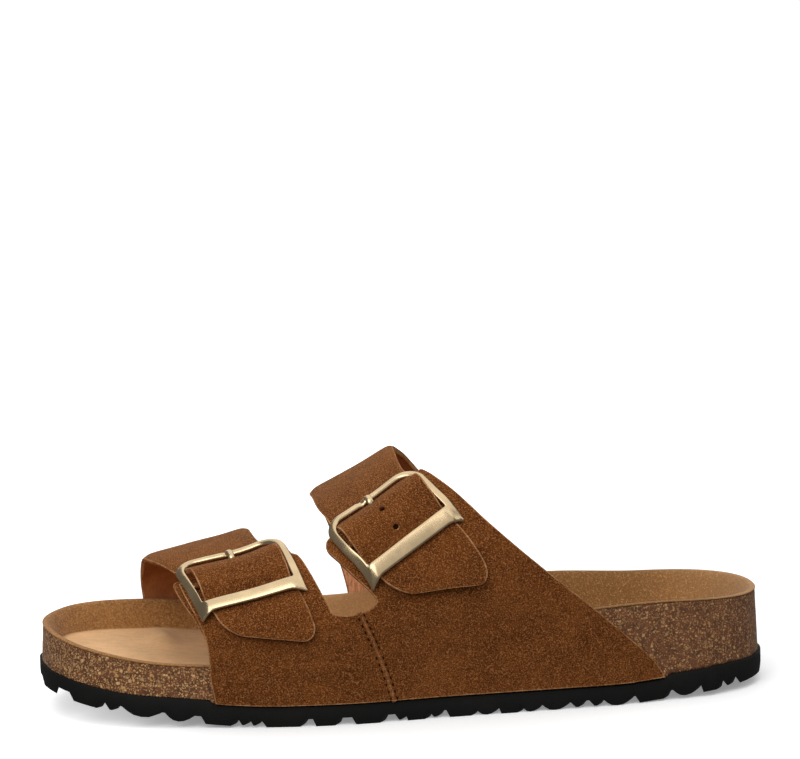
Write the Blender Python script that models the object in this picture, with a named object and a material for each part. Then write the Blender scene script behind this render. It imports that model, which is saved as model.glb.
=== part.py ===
"""Two-strap footbed slide sandal, left shoe, built on the form of its last.

Sizes are in millimetres and become metres where the vertices are made.
X runs from the toe (-X) to the heel (+X), -Y is the outer side and +Y the inner side of the foot.
A station is the distance from the toe tip. A lap runs over the foot across a station: 0 at the outer
foot of the wall, 1 at the outer rim, 2 at the crest, 3 at the inner rim and 4 at the inner foot.
"""
import math

import bmesh
import bpy
from mathutils import Vector

MM = 0.001
OUTER = -1
INNER = 1

# Driving sizes of the sole
LENGTH = 262.0
CENTRE_SHIFT = 0.4
SOLE_PROUD = 1.8
SOLE_THICK = 7.0
LUG_DEPTH = 2.6
LUG_FLANK = 1.0
ARCH_LUG_LIFT = 0.8
TOE_SPRING = 10.0
TOE_FLAT_FROM = 84.0
TOE_POWER = 1.8
HEEL_LIFT = 3.4
HEEL_POWER = 1.0
HEEL_FLAT_TO = 206.0
TOE_ROUND = 48.0
HEEL_ROUND = 36.0
ROUND_POWER = 2.2
END_TRIM = 0.35
SOLE_ENDS = 14
SOLE_COLUMNS = 4

# Station, spine offset, outer half width, inner half width
PLAN = (
    (0.0, 9.0, 44.0, 37.0),
    (40.0, 6.0, 43.5, 40.5),
    (75.0, 2.0, 47.0, 45.0),
    (105.0, 0.0, 48.0, 43.0),
    (140.0, 0.0, 45.2, 35.5),
    (170.0, 0.0, 43.8, 32.0),
    (200.0, 0.0, 42.0, 32.5),
    (225.0, 0.0, 37.8, 33.5),
    (262.0, 0.0, 34.0, 33.5),
)
SPINE, OUTER_HALF, INNER_HALF = 1, 2, 3

# Station, outer rim, inner rim, crest of the instep, floor of the dish, heights above the ground
HEIGHTS = (
    (0.0, 30.2, 30.2, 44.0, 23.6),
    (13.0, 26.9, 30.8, 46.0, 22.2),
    (36.0, 22.9, 29.6, 49.6, 19.9),
    (58.0, 21.6, 28.0, 54.6, 18.0),
    (76.0, 21.8, 27.6, 59.4, 17.0),
    (98.0, 23.2, 27.6, 71.0, 17.2),
    (116.0, 25.0, 28.6, 80.0, 18.0),
    (130.0, 26.8, 31.0, 88.0, 18.8),
    (155.0, 30.6, 35.0, 100.0, 20.0),
    (195.0, 35.0, 34.6, 104.0, 20.4),
    (225.0, 35.4, 33.0, 104.0, 20.2),
    (262.0, 33.4, 33.4, 104.0, 23.0),
)
OUTER_RIM, INNER_RIM, CREST, DISH_FLOOR = 1, 2, 3, 4

# Tread lugs: first station, length, gap to the next, number in the run
LUG_RUNS = (
    (3.0, 8.0, 3.0, 8),
    (91.5, 6.0, 3.0, 9),
    (173.0, 8.0, 3.0, 8),
)
ARCH_LUGS = (124.0, 168.0)

# Footbed and insole
GAP = 0.3
INSOLE_THICK = 1.4
WALL_FLARE = 0.8
RIM_ROUND = 0.7
RING_STEPS = 28
SPINE_ENDS = (44.0, 224.0)
DISH_RINGS = (0.26, 0.5, 0.66, 0.76, 0.83, 0.89, 0.94, 0.975, 1.0)
DISH_WALL = (0.70, 0.95)
BASE_RINGS = (0.55, 1.0)
# Swellings of the dish: station, offset towards the inner side, height, reach along, reach across
SWELLINGS = (
    (51.0, 6.0, 2.2, 7.0, 24.0),
    (108.0, 1.0, 2.4, 13.0, 10.0),
    (146.0, 24.0, 6.5, 26.0, 9.0),
    (150.0, -30.0, 2.0, 24.0, 8.0),
)

# Upper
SUEDE = 1.7
CREST_OFFSET = 3.0
ARCH_POWER = 2.1
FOOT_LAP = 0.02
NOTCH_POWER = 3
CORNER_POWER = 8
# Lap of the notch between the tabs at its bottom and side, rows below it and rows along a tab
OUTER_ROWS = dict(notch=1.16, notch_side=1.19, panel_rows=6, tab_rows=8)
INNER_ROWS = dict(notch=3.04, notch_side=2.98, panel_rows=4, tab_rows=34)
# Lap, front and rear edge of the front tab, then of the rear tab, on the outer panel
OUTER_EDGES = (
    (0.0, 59.5, 100.0, 118.5, 219.5),
    (0.4, 58.6, 100.0, 118.5, 211.0),
    (0.7, 58.0, 100.0, 118.5, 203.4),
    (1.0, 57.2, 101.2, 118.4, 195.2),
    (1.15, 55.2, 101.6, 118.2, 175.5),
    (1.22, 54.1, 100.4, 116.6, 167.0),
    (1.32, 52.6, 96.6, 110.2, 158.0),
    (1.4, 51.4, 94.4, 105.2, 151.8),
    (1.5, 50.1, 91.4, 100.8, 145.4),
    (1.6, 49.2, 89.0, 101.0, 139.7),
    (1.7, 48.6, 87.0, 101.5, 135.0),
)
# Lap, front and rear edge of the front strap, then of the rear strap, from the buckles to the inner foot
INNER_EDGES = (
    (1.6, 52.0, 82.0, 104.0, 132.0),
    (1.7, 47.6, 79.6, 102.6, 131.0),
    (1.8, 44.4, 77.4, 101.2, 130.4),
    (1.9, 42.2, 75.8, 100.6, 129.6),
    (2.1, 40.6, 75.0, 100.4, 129.6),
    (2.3, 39.8, 75.6, 101.6, 131.6),
    (2.6, 39.2, 79.4, 108.0, 144.0),
    (2.85, 39.2, 85.0, 113.0, 163.0),
    (3.0, 39.6, 88.0, 115.0, 177.0),
    (3.5, 41.0, 89.0, 115.0, 193.0),
    (4.0, 43.0, 89.0, 115.0, 206.0),
)
TAB_EDGES = {"front": (1, 2), "gap": (2, 3), "rear": (3, 4)}
FRONT_COLUMNS, GAP_COLUMNS, REAR_COLUMNS = 8, 5, 8
# Outer tabs: lap of the top's middle, further rise of its corners
TAB_TOPS = {"front": (1.545, 0.06), "rear": (1.515, 0.06)}
# Straps: lap of the free end at its front and rear corner
STRAP_ENDS = {"front": (1.135, 1.09), "rear": (1.15, 1.125)}
# Row spacing along a tab: share of the rows, share of the way from the notch to the end
EVEN_ROWS = ((0.0, 0.0), (1.0, 1.0))
STRAP_ROWS = ((0.0, 0.0), (0.3, 0.65), (1.0, 1.0))
STRAP_HALF = 15.2
STRAP_END_ROUND = 6.0
BUCKLE_ENTRY = (9.5, 20.0)

# Buckles: centre station and lap, sideways scale, mm of arc to a lap, lean along and across the strap,
# and the prong's distance to the side of the middle
BUCKLES = {
    "front": dict(station=69.8, lap=1.517, scale=0.97, arc=70.0, lean=-0.25, tilt=0.0, prong=2.5),
    "rear": dict(station=124.4, lap=1.49, scale=0.88, arc=79.0, lean=-0.45, tilt=0.17, prong=-2.8),
}
BAR_HALF = 12.4
WINDOW_HALF = 15.9
FRAME_HALF = 19.8
SIDE_BAR_LEAST = 2.0
WINDOW_COLUMNS = 4
END_BAR = 3.0
CENTRE_BAR = 2.0
KEEPER = 5.6
CORNER_ROUND = 8.0
FOOT_FLARE = 0.6
FOOT_DROP = 1.6
FRAME_LOW = 2.4
FRAME_THICK = 2.4
KEEPER_LOW = 3.65
KEEPER_THICK = 1.7
CENTRE_THICK = 1.2
BAR_ROWS = (0, 2, 5)
# Distance from the centre bar towards the crest, height of the strap's underside over the last
STRAP_RISE = (
    (-40.0, 2.4),
    (-21.0, 2.4),
    (-16.0, 1.7),
    (-12.4, 1.5),
    (-8.5, 1.6),
    (-4.0, 3.5),
    (-1.5, 4.1),
    (1.5, 4.1),
    (4.0, 3.9),
    (7.0, 2.9),
    (8.8, 1.2),
    (10.2, GAP),
    (200.0, GAP),
)
# The prong's path: distance from the centre bar, height over the last
PRONG = (
    (1.6, 3.1),
    (5.2, 2.5),
    (7.2, 2.8),
    (9.0, 4.7),
    (10.4, 6.0),
    (12.4, 6.1),
    (14.0, 5.85),
)
PRONG_RADIUS = 0.8
PRONG_HOLE_RADIUS = 1.3
PRONG_END_GAP = 0.6
PRONG_SIDES = 8
SMOOTH_ANGLE = 35.0

MATERIALS = {
    "outsole": ((0.018, 0.018, 0.019), 0.75, 0.0),
    "footbed": ((0.20, 0.13, 0.075), 0.85, 0.0),
    "insole": ((0.42, 0.28, 0.17), 0.9, 0.0),
    "upper": ((0.17, 0.085, 0.045), 0.95, 0.0),
    "buckle": ((0.80, 0.68, 0.50), 0.3, 1.0),
}


def along(rows, column, at):
    """One column of a table read as a smooth curve over the table's first column."""
    at = min(max(at, rows[0][0]), rows[-1][0])
    index = max(i for i in range(len(rows) - 1) if rows[i][0] <= at)

    def slope(i):
        low, high = rows[max(i - 1, 0)], rows[min(i + 1, len(rows) - 1)]
        return (high[column] - low[column]) / (high[0] - low[0])

    first, second = rows[index], rows[index + 1]
    span = second[0] - first[0]
    t = (at - first[0]) / span
    start = (2 * t ** 3 - 3 * t ** 2 + 1) * first[column] + (t ** 3 - 2 * t ** 2 + t) * span * slope(index)
    end = (3 * t ** 2 - 2 * t ** 3) * second[column] + (t ** 3 - t ** 2) * span * slope(index + 1)
    return start + end


def straight(rows, column, at):
    """One column of a table read as straight runs."""
    at = min(max(at, rows[0][0]), rows[-1][0])
    for first, second in zip(rows, rows[1:]):
        if at <= second[0]:
            t = (at - first[0]) / (second[0] - first[0])
            return first[column] + t * (second[column] - first[column])


def clamp(value):
    return min(max(value, 0.0), 1.0)


def mix(a, b, t):
    return a + (b - a) * t


def smooth_step(low, high, value):
    t = clamp((value - low) / (high - low))
    return t * t * (3 - 2 * t)


def rounding(station):
    """How far the half width closes in at the toe and heel, from 0 at the tips to 1."""
    toe = clamp(1 - station / TOE_ROUND)
    heel = clamp(1 - (LENGTH - station) / HEEL_ROUND)
    return ((1 - toe ** ROUND_POWER) * (1 - heel ** ROUND_POWER)) ** (1 / ROUND_POWER)


def plan_point(station, side, proud):
    """A point of the sole's outline, proud of the footbed's rim by the given distance."""
    half = along(PLAN, OUTER_HALF if side == OUTER else INNER_HALF, station)
    x = (station / LENGTH - 0.5) * (LENGTH - 2 * (SOLE_PROUD - proud))
    y = along(PLAN, SPINE, station) + side * (half + proud) * rounding(station)
    return x, y


def ground(station):
    """Height of the tread: toe spring, flat ball and heel, and the lifted back of the heel."""
    toe = clamp((TOE_FLAT_FROM - station) / TOE_FLAT_FROM)
    heel = clamp((station - HEEL_FLAT_TO) / (LENGTH - HEEL_FLAT_TO))
    return TOE_SPRING * toe ** TOE_POWER + HEEL_LIFT * heel ** HEEL_POWER


def rim(station, side):
    return along(HEIGHTS, OUTER_RIM if side == OUTER else INNER_RIM, station)


def over_last(station, lap, lift):
    """A point over the foot's form at a station and lap, lifted outwards from it."""
    side = OUTER if lap <= 2 else INNER
    climb = lap if lap <= 2 else 4 - lap
    low = ground(station) + SOLE_THICK + GAP
    top = rim(station, side)
    wall = plan_point(station, side, 0.0)[1] + side * lift
    x = station - LENGTH / 2
    if climb <= 1:
        return Vector((x, wall + side * WALL_FLARE * (1 - climb), mix(low, top, climb)))
    turn = (climb - 1) * math.pi / 2
    reach = abs(wall - CREST_OFFSET)
    rise = along(HEIGHTS, CREST, station) + lift - top
    y = CREST_OFFSET + side * reach * abs(math.cos(turn)) ** (2 / ARCH_POWER)
    return Vector((x, y, top + rise * math.sin(turn) ** (2 / ARCH_POWER)))


def make_material(name):
    colour, roughness, metallic = MATERIALS[name]
    material = bpy.data.materials.new(name)
    material.use_nodes = True
    shader = material.node_tree.nodes["Principled BSDF"]
    shader.inputs["Base Color"].default_value = (*colour, 1.0)
    shader.inputs["Roughness"].default_value = roughness
    shader.inputs["Metallic"].default_value = metallic
    return material


def finish(name, bm, material):
    """Turns a bmesh in millimetres into a named, smooth shaded object in metres, centred on the origin."""
    bmesh.ops.recalc_face_normals(bm, faces=bm.faces)
    bmesh.ops.translate(bm, vec=(0.0, CENTRE_SHIFT, 0.0), verts=bm.verts)
    bmesh.ops.scale(bm, vec=(MM, MM, MM), verts=bm.verts)
    mesh = bpy.data.meshes.new(name)
    bm.to_mesh(mesh)
    bm.free()
    if material:
        mesh.materials.append(material)
    mesh.shade_smooth()
    mesh.set_sharp_from_angle(angle=math.radians(SMOOTH_ANGLE))
    part = bpy.data.objects.new(name, mesh)
    bpy.context.collection.objects.link(part)
    return part


def skin(bm, rings):
    """Triangles between neighbouring closed rings of vertices, split the same way on every piece."""
    for ring, after in zip(rings, rings[1:]):
        for i, vertex in enumerate(ring):
            j = (i + 1) % len(ring)
            for corners in ((vertex, ring[j], after[j]), (vertex, after[j], after[i])):
                if len(set(corners)) == 3:
                    bm.faces.new(corners)


def slab(bm, lower, upper, kept):
    """Closes a grid of lower points and a grid of upper points into one solid over the kept cells."""
    low = [[bm.verts.new(point) for point in row] for row in lower]
    high = [[bm.verts.new(point) for point in row] for row in upper]
    rows, columns = len(lower) - 1, len(lower[0]) - 1

    def filled(i, j):
        return 0 <= i < rows and 0 <= j < columns and kept(i, j)

    for i in range(rows):
        for j in range(columns):
            if not kept(i, j):
                continue
            cell = ((i, j), (i, j + 1), (i + 1, j + 1), (i + 1, j))
            beyond = ((i - 1, j), (i, j + 1), (i + 1, j), (i, j - 1))
            bm.faces.new([high[a][b] for a, b in cell])
            bm.faces.new([low[a][b] for a, b in reversed(cell)])
            for side in range(4):
                if not filled(*beyond[side]):
                    (a, b), (c, d) = cell[side], cell[(side + 1) % 4]
                    bm.faces.new((low[a][b], low[c][d], high[c][d], high[a][b]))
    bmesh.ops.delete(bm, geom=[v for v in bm.verts if not v.link_faces], context="VERTS")


def lug_profile():
    """Stations along the tread with the depth that is cut there."""
    rows = [(END_TRIM, LUG_DEPTH)]
    for first, length, gap, count in LUG_RUNS:
        for i in range(count):
            start = first + i * (length + gap)
            low = ARCH_LUG_LIFT if ARCH_LUGS[0] < start + length / 2 < ARCH_LUGS[1] else 0.0
            rows += [
                (start, LUG_DEPTH),
                (start + LUG_FLANK, low),
                (start + length - LUG_FLANK, low),
                (start + length, LUG_DEPTH),
            ]
    rows.append((LENGTH - END_TRIM, LUG_DEPTH))
    return rows


def build_outsole(material):
    profile = lug_profile()
    stations = {row[0] for row in profile}
    for i in range(1, SOLE_ENDS):
        share = (i / SOLE_ENDS) ** 2
        for station in (share * TOE_ROUND, LENGTH - share * HEEL_ROUND):
            if min(abs(station - other) for other in stations) > LUG_FLANK / 2:
                stations.add(station)
    lower, upper = [], []
    for station in sorted(stations):
        x, left = plan_point(station, OUTER, SOLE_PROUD)
        right = plan_point(station, INNER, SOLE_PROUD)[1]
        tread = ground(station) + straight(profile, 1, station)
        across = [mix(left, right, j / SOLE_COLUMNS) for j in range(SOLE_COLUMNS + 1)]
        lower.append([(x, y, tread) for y in across])
        upper.append([(x, y, ground(station) + SOLE_THICK) for y in across])
    bm = bmesh.new()
    slab(bm, lower, upper, lambda i, j: True)
    return finish("outsole", bm, material)


def dish_height(station, y):
    height = along(HEIGHTS, DISH_FLOOR, station)
    for at, offset, swell, reach, spread in SWELLINGS:
        height += swell * math.exp(-((station - at) / reach) ** 2 - ((y - offset) / spread) ** 2)
    return height


def outline_walk():
    """Stations and sides once round the sole, from the toe along the outer side and back."""
    steps = [LENGTH * (0.5 - 0.5 * math.cos(math.pi * i / RING_STEPS)) for i in range(RING_STEPS + 1)]
    outer = [(station, OUTER) for station in steps]
    inner = [(station, INNER) for station in reversed(steps[1:-1])]
    return outer + inner


def inward(station, side, proud, share):
    """A point between the spine of the footbed, at share 0, and its outline, at share 1."""
    x, y = plan_point(station, side, proud)
    base = mix(*SPINE_ENDS, station / LENGTH)
    base_x = base - LENGTH / 2
    return mix(base_x, x, share), mix(along(PLAN, SPINE, base), y, share)


def dish_ring(share, drop):
    points = []
    for station, side in outline_walk():
        x, y = inward(station, side, 0.0, share)
        floor = dish_height(x + LENGTH / 2, y)
        edge = rim(station, side) - RIM_ROUND * (share == 1.0)
        points.append((x, y, mix(floor, edge, smooth_step(*DISH_WALL, share)) - drop))
    return points


def spine_row(bm, height):
    """Vertices along the spine, shared by the two sides of a ring."""
    row = {}
    for station, side in outline_walk():
        if station not in row:
            x, y = inward(station, side, 0.0, 0.0)
            row[station] = bm.verts.new((x, y, height(x + LENGTH / 2, y)))
    return [row[station] for station, side in outline_walk()]


def as_verts(bm, points):
    return [bm.verts.new(point) for point in points]


def build_footbed(material):
    drop = INSOLE_THICK + GAP
    bm = bmesh.new()
    rings = [spine_row(bm, lambda s, y: dish_height(s, y) - drop)]
    rings += [as_verts(bm, dish_ring(share, drop)) for share in DISH_RINGS]
    under = [spine_row(bm, lambda s, y: ground(s) + SOLE_THICK + GAP)]
    for share in BASE_RINGS:
        base = [inward(station, side, WALL_FLARE, share) for station, side in outline_walk()]
        under.append(as_verts(bm, [(x, y, ground(x + LENGTH / 2) + SOLE_THICK + GAP) for x, y in base]))
    for run in (rings, under, (under[-1], rings[-1])):
        skin(bm, run)
    return finish("footbed", bm, material)


def build_insole(material):
    bm = bmesh.new()
    rings = [spine_row(bm, dish_height)]
    rings += [as_verts(bm, dish_ring(share, 0.0)) for share in DISH_RINGS]
    under = [spine_row(bm, lambda s, y: dish_height(s, y) - INSOLE_THICK)]
    under += [as_verts(bm, dish_ring(share, INSOLE_THICK)) for share in DISH_RINGS]
    for run in (rings, under, (under[-1], rings[-1])):
        skin(bm, run)
    return finish("insole", bm, material)


def on_buckle(buckle, station, lap):
    """Distances across and along a buckle of a place on the last."""
    climb = (lap - buckle["lap"]) * buckle["arc"]
    shift = station - buckle["station"]
    across = (shift - buckle["lean"] * climb) / (buckle["scale"] - buckle["lean"] * buckle["tilt"])
    return across, climb - buckle["tilt"] * across


def at_buckle(buckle, across, length, lift):
    """The point over the last at distances across and along a buckle."""
    station = buckle["station"] + buckle["scale"] * across + buckle["lean"] * length
    lap = buckle["lap"] + (length + buckle["tilt"] * across) / buckle["arc"]
    return over_last(station, lap, lift)


def between_edges(edges, tab, share, lap):
    """Station of a column between the edges that a table gives for its tab or for the gap."""
    first, last = TAB_EDGES[tab]
    return mix(along(edges, first, lap), along(edges, last, lap), share)


def panel_grid(laps, place, underside):
    """Lower and upper points of a panel with two tabs and a gap between them.

    laps gives the foot, the notch's bottom and side, the row counts and spacing and each tab's end lap.
    place gives the station of a column's tab and share at a lap.
    underside gives the lift of the panel's inner face at a column's tab, station and lap.
    """
    columns = [("front", i / FRONT_COLUMNS) for i in range(FRONT_COLUMNS + 1)]
    columns += [("gap", i / GAP_COLUMNS) for i in range(1, GAP_COLUMNS)]
    columns += [("rear", i / REAR_COLUMNS) for i in range(REAR_COLUMNS + 1)]
    lower, upper = [], []
    for row in range(laps["panel_rows"] + laps["tab_rows"] + 1):
        low_row, high_row = [], []
        for tab, share in columns:
            notch = laps["notch_side"]
            if tab == "gap":
                notch = mix(laps["notch"], notch, abs(2 * share - 1) ** NOTCH_POWER)
            if row <= laps["panel_rows"]:
                lap = mix(laps["foot"], notch, row / laps["panel_rows"])
            else:
                rise = (row - laps["panel_rows"]) / laps["tab_rows"]
                lap = mix(notch, laps["end"](tab, share), straight(laps["spacing"], 1, rise))
            station = place(tab, share, lap)
            lift = underside(tab, station, lap)
            low_row.append(over_last(station, lap, lift))
            high_row.append(over_last(station, lap, lift + SUEDE))
        lower.append(low_row)
        upper.append(high_row)
    return lower, upper


def panel_solid(name, laps, place, underside):
    lower, upper = panel_grid(laps, place, underside)

    def kept(i, j):
        return i < laps["panel_rows"] or not FRONT_COLUMNS <= j < FRONT_COLUMNS + GAP_COLUMNS

    bm = bmesh.new()
    slab(bm, lower, upper, kept)
    return finish(name, bm, None)


def outer_panel():
    """The outer panel, whose two tabs end at the buckles' centre bars with raised outer corners."""
    def tab_end(tab, share):
        if tab == "gap":
            return laps["notch_side"]
        top, corner = TAB_TOPS[tab]
        lean = BUCKLES[tab]["tilt"] * (share - 0.5) * WINDOW_HALF * 2 / BUCKLES[tab]["arc"]
        return top + lean + corner * abs(2 * share - 1) ** CORNER_POWER

    def place(tab, share, lap):
        return between_edges(OUTER_EDGES, tab, share, lap)

    laps = dict(OUTER_ROWS, foot=FOOT_LAP, end=tab_end, spacing=EVEN_ROWS)
    return panel_solid("outer_panel", laps, place, lambda tab, station, lap: GAP)


def inner_panel():
    """The inner panel with its two straps, which run over the crest and through the buckles."""
    def strap_end(tab, share):
        if tab == "gap":
            return laps["notch_side"]
        return mix(*STRAP_ENDS[tab], share)

    def underside(tab, station, lap):
        if tab == "gap":
            return GAP
        length = on_buckle(BUCKLES[tab], station, lap)[1]
        return straight(STRAP_RISE, 1, length) if lap < 2 else GAP

    def place(tab, share, lap):
        wide = between_edges(INNER_EDGES, tab, share, lap)
        if tab == "gap" or lap > 2:
            return wide
        buckle = BUCKLES[tab]
        left = max((lap - strap_end(tab, share)) * buckle["arc"], 0.0)
        part = clamp(1 - left / STRAP_END_ROUND)
        half = STRAP_HALF - STRAP_END_ROUND * (1 - math.sqrt(1 - part ** 2))
        across = (2 * share - 1) * half
        length = (lap - buckle["lap"]) * buckle["arc"] - buckle["tilt"] * across
        narrow = buckle["station"] + buckle["scale"] * across + buckle["lean"] * length
        return mix(narrow, wide, smooth_step(*BUCKLE_ENTRY, length))

    laps = dict(INNER_ROWS, foot=4 - FOOT_LAP, end=strap_end, spacing=STRAP_ROWS)
    return panel_solid("inner_panel", laps, place, underside)


def prong_solid(name, buckle, radius, longer, material):
    """A rod along the prong's path, square to it, with flat ends that reach further by the given length."""
    centres = [at_buckle(buckle, buckle["prong"], length, lift) for length, lift in PRONG]
    centres[0] += (centres[0] - centres[1]).normalized() * longer
    centres[-1] += (centres[-1] - centres[-2]).normalized() * longer
    sideways = (at_buckle(buckle, 1.0, 0.0, 0.0) - at_buckle(buckle, 0.0, 0.0, 0.0)).normalized()
    bm = bmesh.new()
    rings = []
    for i, centre in enumerate(centres):
        ahead = centres[min(i + 1, len(centres) - 1)] - centres[max(i - 1, 0)]
        upright = ahead.cross(sideways).normalized()
        ring = []
        for k in range(PRONG_SIDES):
            angle = 2 * math.pi * k / PRONG_SIDES
            ring.append(centre + radius * (math.cos(angle) * sideways + math.sin(angle) * upright))
        rings.append(as_verts(bm, ring))
    skin(bm, rings)
    bm.faces.new(rings[0])
    bm.faces.new(list(reversed(rings[-1])))
    return finish(name, bm, material)


def prong_hole(tab):
    return prong_solid("hole_" + tab, BUCKLES[tab], PRONG_HOLE_RADIUS, PRONG_END_GAP, None)


def build_upper(material):
    """Joins the outer and inner panels where the straps lie on the tabs, and opens the prongs' holes."""
    upper = inner_panel()
    upper.name = "upper"
    upper.data.materials.append(material)
    cutters = [prong_hole(tab) for tab in BUCKLES]
    steps = [("DIFFERENCE", cutter) for cutter in cutters]
    steps.append(("UNION", outer_panel()))
    for operation, other in steps:
        other.hide_render = True
        other.display_type = "WIRE"
        join = upper.modifiers.new(other.name, "BOOLEAN")
        join.operation = operation
        join.object = other
    return upper


def frame_rows():
    """Rows of a buckle frame from the keeper's lower edge to the end bar's outer edge.

    Each row has its distance along the buckle, lift and thickness.
    """
    keeper_low = -BAR_HALF - KEEPER / 2
    keeper_high = -BAR_HALF + KEEPER / 2
    end_low = BAR_HALF - END_BAR / 2
    end_high = BAR_HALF + END_BAR / 2
    return (
        (keeper_low, KEEPER_LOW, KEEPER_THICK),
        (keeper_high, KEEPER_LOW, KEEPER_THICK),
        (-CENTRE_BAR / 2, FRAME_LOW, CENTRE_THICK),
        (CENTRE_BAR / 2, FRAME_LOW, CENTRE_THICK),
        (end_high - CORNER_ROUND, FRAME_LOW, FRAME_THICK),
        (end_low, FRAME_LOW, FRAME_THICK),
        (end_high, FRAME_LOW, FRAME_THICK),
    )


def corner_half(length):
    """Outer half width of the frame near the end bar's rounded corners."""
    start = BAR_HALF + END_BAR / 2 - CORNER_ROUND
    part = clamp((length - start) / CORNER_ROUND)
    return FRAME_HALF - CORNER_ROUND * (1 - math.sqrt(1 - part ** 2))


def build_buckle(name, buckle, material):
    """The cast frame: end bar, side bars, centre bar and a keeper whose ends flare into pointed feet."""
    shares = [2 * j / WINDOW_COLUMNS - 1 for j in range(WINDOW_COLUMNS + 1)]
    lower, upper = [], []
    for index, (length, lift, thick) in enumerate(frame_rows()):
        half = corner_half(length)
        window = min(WINDOW_HALF, half - SIDE_BAR_LEAST)
        across = [-half] + [share * window for share in shares] + [half]
        low_row, high_row = [], []
        for j, place in enumerate(across):
            outside = j in (0, len(across) - 1)
            foot = outside and index < 2
            at = length - FOOT_DROP * (foot and index == 0)
            wide = place + math.copysign(FOOT_FLARE, place) * (foot and index == 0)
            base = FRAME_LOW if outside else lift
            depth = FRAME_THICK if outside and index > 1 else thick
            low_row.append(at_buckle(buckle, wide, at, base))
            high_row.append(at_buckle(buckle, wide, at, base + depth))
        lower.append(low_row)
        upper.append(high_row)

    def kept(i, j):
        return i in BAR_ROWS or j in (0, WINDOW_COLUMNS + 1)

    bm = bmesh.new()
    slab(bm, lower, upper, kept)
    return finish(name, bm, material)


def main():
    for old in list(bpy.data.objects):
        bpy.data.objects.remove(old)
    materials = {name: make_material(name) for name in MATERIALS}
    build_outsole(materials["outsole"])
    build_footbed(materials["footbed"])
    build_insole(materials["insole"])
    build_upper(materials["upper"])
    for tab, buckle in BUCKLES.items():
        build_buckle("buckle_" + tab, buckle, materials["buckle"])
        prong_solid("buckle_pin_" + tab, buckle, PRONG_RADIUS, 0.0, materials["buckle"])


main()
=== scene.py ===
"""Looks of a two-strap footbed slide sandal, left shoe, laid out as an add-on and run as a script.

Forms are worked out in millimetres and become metres where a piece is finished.
X runs from the toe (-X) to the heel (+X), -Y is the outer side and +Y the inner side of the foot.
A station is the distance from the toe tip. A lap runs over the foot across a station: 0 at the outer
foot of the wall, 1 at the outer rim, 2 at the crest, 3 at the inner rim and 4 at the inner foot.
"""
import math

import bmesh
import bpy
from bpy.props import FloatProperty, FloatVectorProperty, PointerProperty
from mathutils import Matrix, Vector, noise


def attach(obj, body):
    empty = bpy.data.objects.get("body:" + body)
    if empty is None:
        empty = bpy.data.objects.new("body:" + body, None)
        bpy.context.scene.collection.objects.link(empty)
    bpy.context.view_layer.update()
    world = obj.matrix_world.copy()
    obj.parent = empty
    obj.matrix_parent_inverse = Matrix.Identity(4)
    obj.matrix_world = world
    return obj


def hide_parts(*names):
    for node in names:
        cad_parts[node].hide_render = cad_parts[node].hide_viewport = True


bl_info = {
    "name": "Footbed slide sandal",
    "version": (1, 0, 0),
    "blender": (4, 5, 0),
    "location": "View3D > Sidebar > Sandal",
    "description": "Builds the sole, cork footbed, suede upper, buckles and studio of a slide sandal",
    "category": "Mesh",
}

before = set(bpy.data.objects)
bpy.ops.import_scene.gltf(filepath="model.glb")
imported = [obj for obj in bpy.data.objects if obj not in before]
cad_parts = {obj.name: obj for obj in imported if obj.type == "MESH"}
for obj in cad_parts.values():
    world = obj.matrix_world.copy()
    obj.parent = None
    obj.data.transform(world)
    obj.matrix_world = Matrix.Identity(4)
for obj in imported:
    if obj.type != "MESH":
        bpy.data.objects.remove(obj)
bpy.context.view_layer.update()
BODY = "root"

MM = 0.001
OUTER = -1
INNER = 1
CENTRE_SHIFT = 0.4
# Vertices nearer than this are joined, and an edge sharper than this angle is rounded
WELD = 0.002
EDGE_ANGLE = 50.0
# Far points that a sheet's outside looks towards
ABOVE = Vector((0.0, 0.0, 500.0))
OUTSIDE = Vector((0.0, -500.0, 60.0))
INSIDE = Vector((0.0, 500.0, 60.0))

# Sole
LENGTH = 262.0
SOLE_PROUD = 1.8
SOLE_THICK = 7.0
LUG_DEPTH = 2.6
TOE_SPRING = 10.0
TOE_FLAT_FROM = 84.0
TOE_POWER = 1.8
HEEL_LIFT = 3.4
HEEL_POWER = 1.0
HEEL_FLAT_TO = 206.0
TOE_ROUND = 48.0
HEEL_ROUND = 36.0
ROUND_POWER = 2.2
END_TRIM = 0.15
END_ROWS = 34
END_SPACING = 0.25
TREAD_COLUMNS = 48
TREAD_WAVES = 3
TREAD_WAVE = 3.2
TREAD_WAVE_GROWS = 20.0
TREAD_CHANNELS = (0.25, 0.5, 0.75)
FOAM_EDGE = 0.35
FOAM_ANGLE = 35.0
# Step up of the sole's top beyond the ends of the suede: height, stations between which it fades at the toe
# and heel, run and rows of its slope, stations of its foot on the outer and inner side, width of the change
STEP_HIGH = 1.3
STEP_TOE_FADES = (24.0, 56.0)
STEP_HEEL_FADES = (240.0, 260.0)
STEP_RUN = 1.6
STEP_ROWS = (0.0, 0.3, 0.7, 1.0)
STEP_TOE = (59.0, 42.6)
STEP_HEEL = (220.0, 206.5)
STEP_ACROSS = 80.0

# Station, spine offset, outer half width, inner half width
PLAN = (
    (0.0, 9.0, 44.0, 37.0),
    (40.0, 6.0, 43.5, 40.5),
    (75.0, 2.0, 47.0, 45.0),
    (105.0, 0.0, 48.0, 43.0),
    (140.0, 0.0, 45.2, 35.5),
    (170.0, 0.0, 43.8, 32.0),
    (200.0, 0.0, 42.0, 32.5),
    (225.0, 0.0, 37.8, 33.5),
    (262.0, 0.0, 34.0, 33.5),
)
SPINE, OUTER_HALF, INNER_HALF = 1, 2, 3

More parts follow.
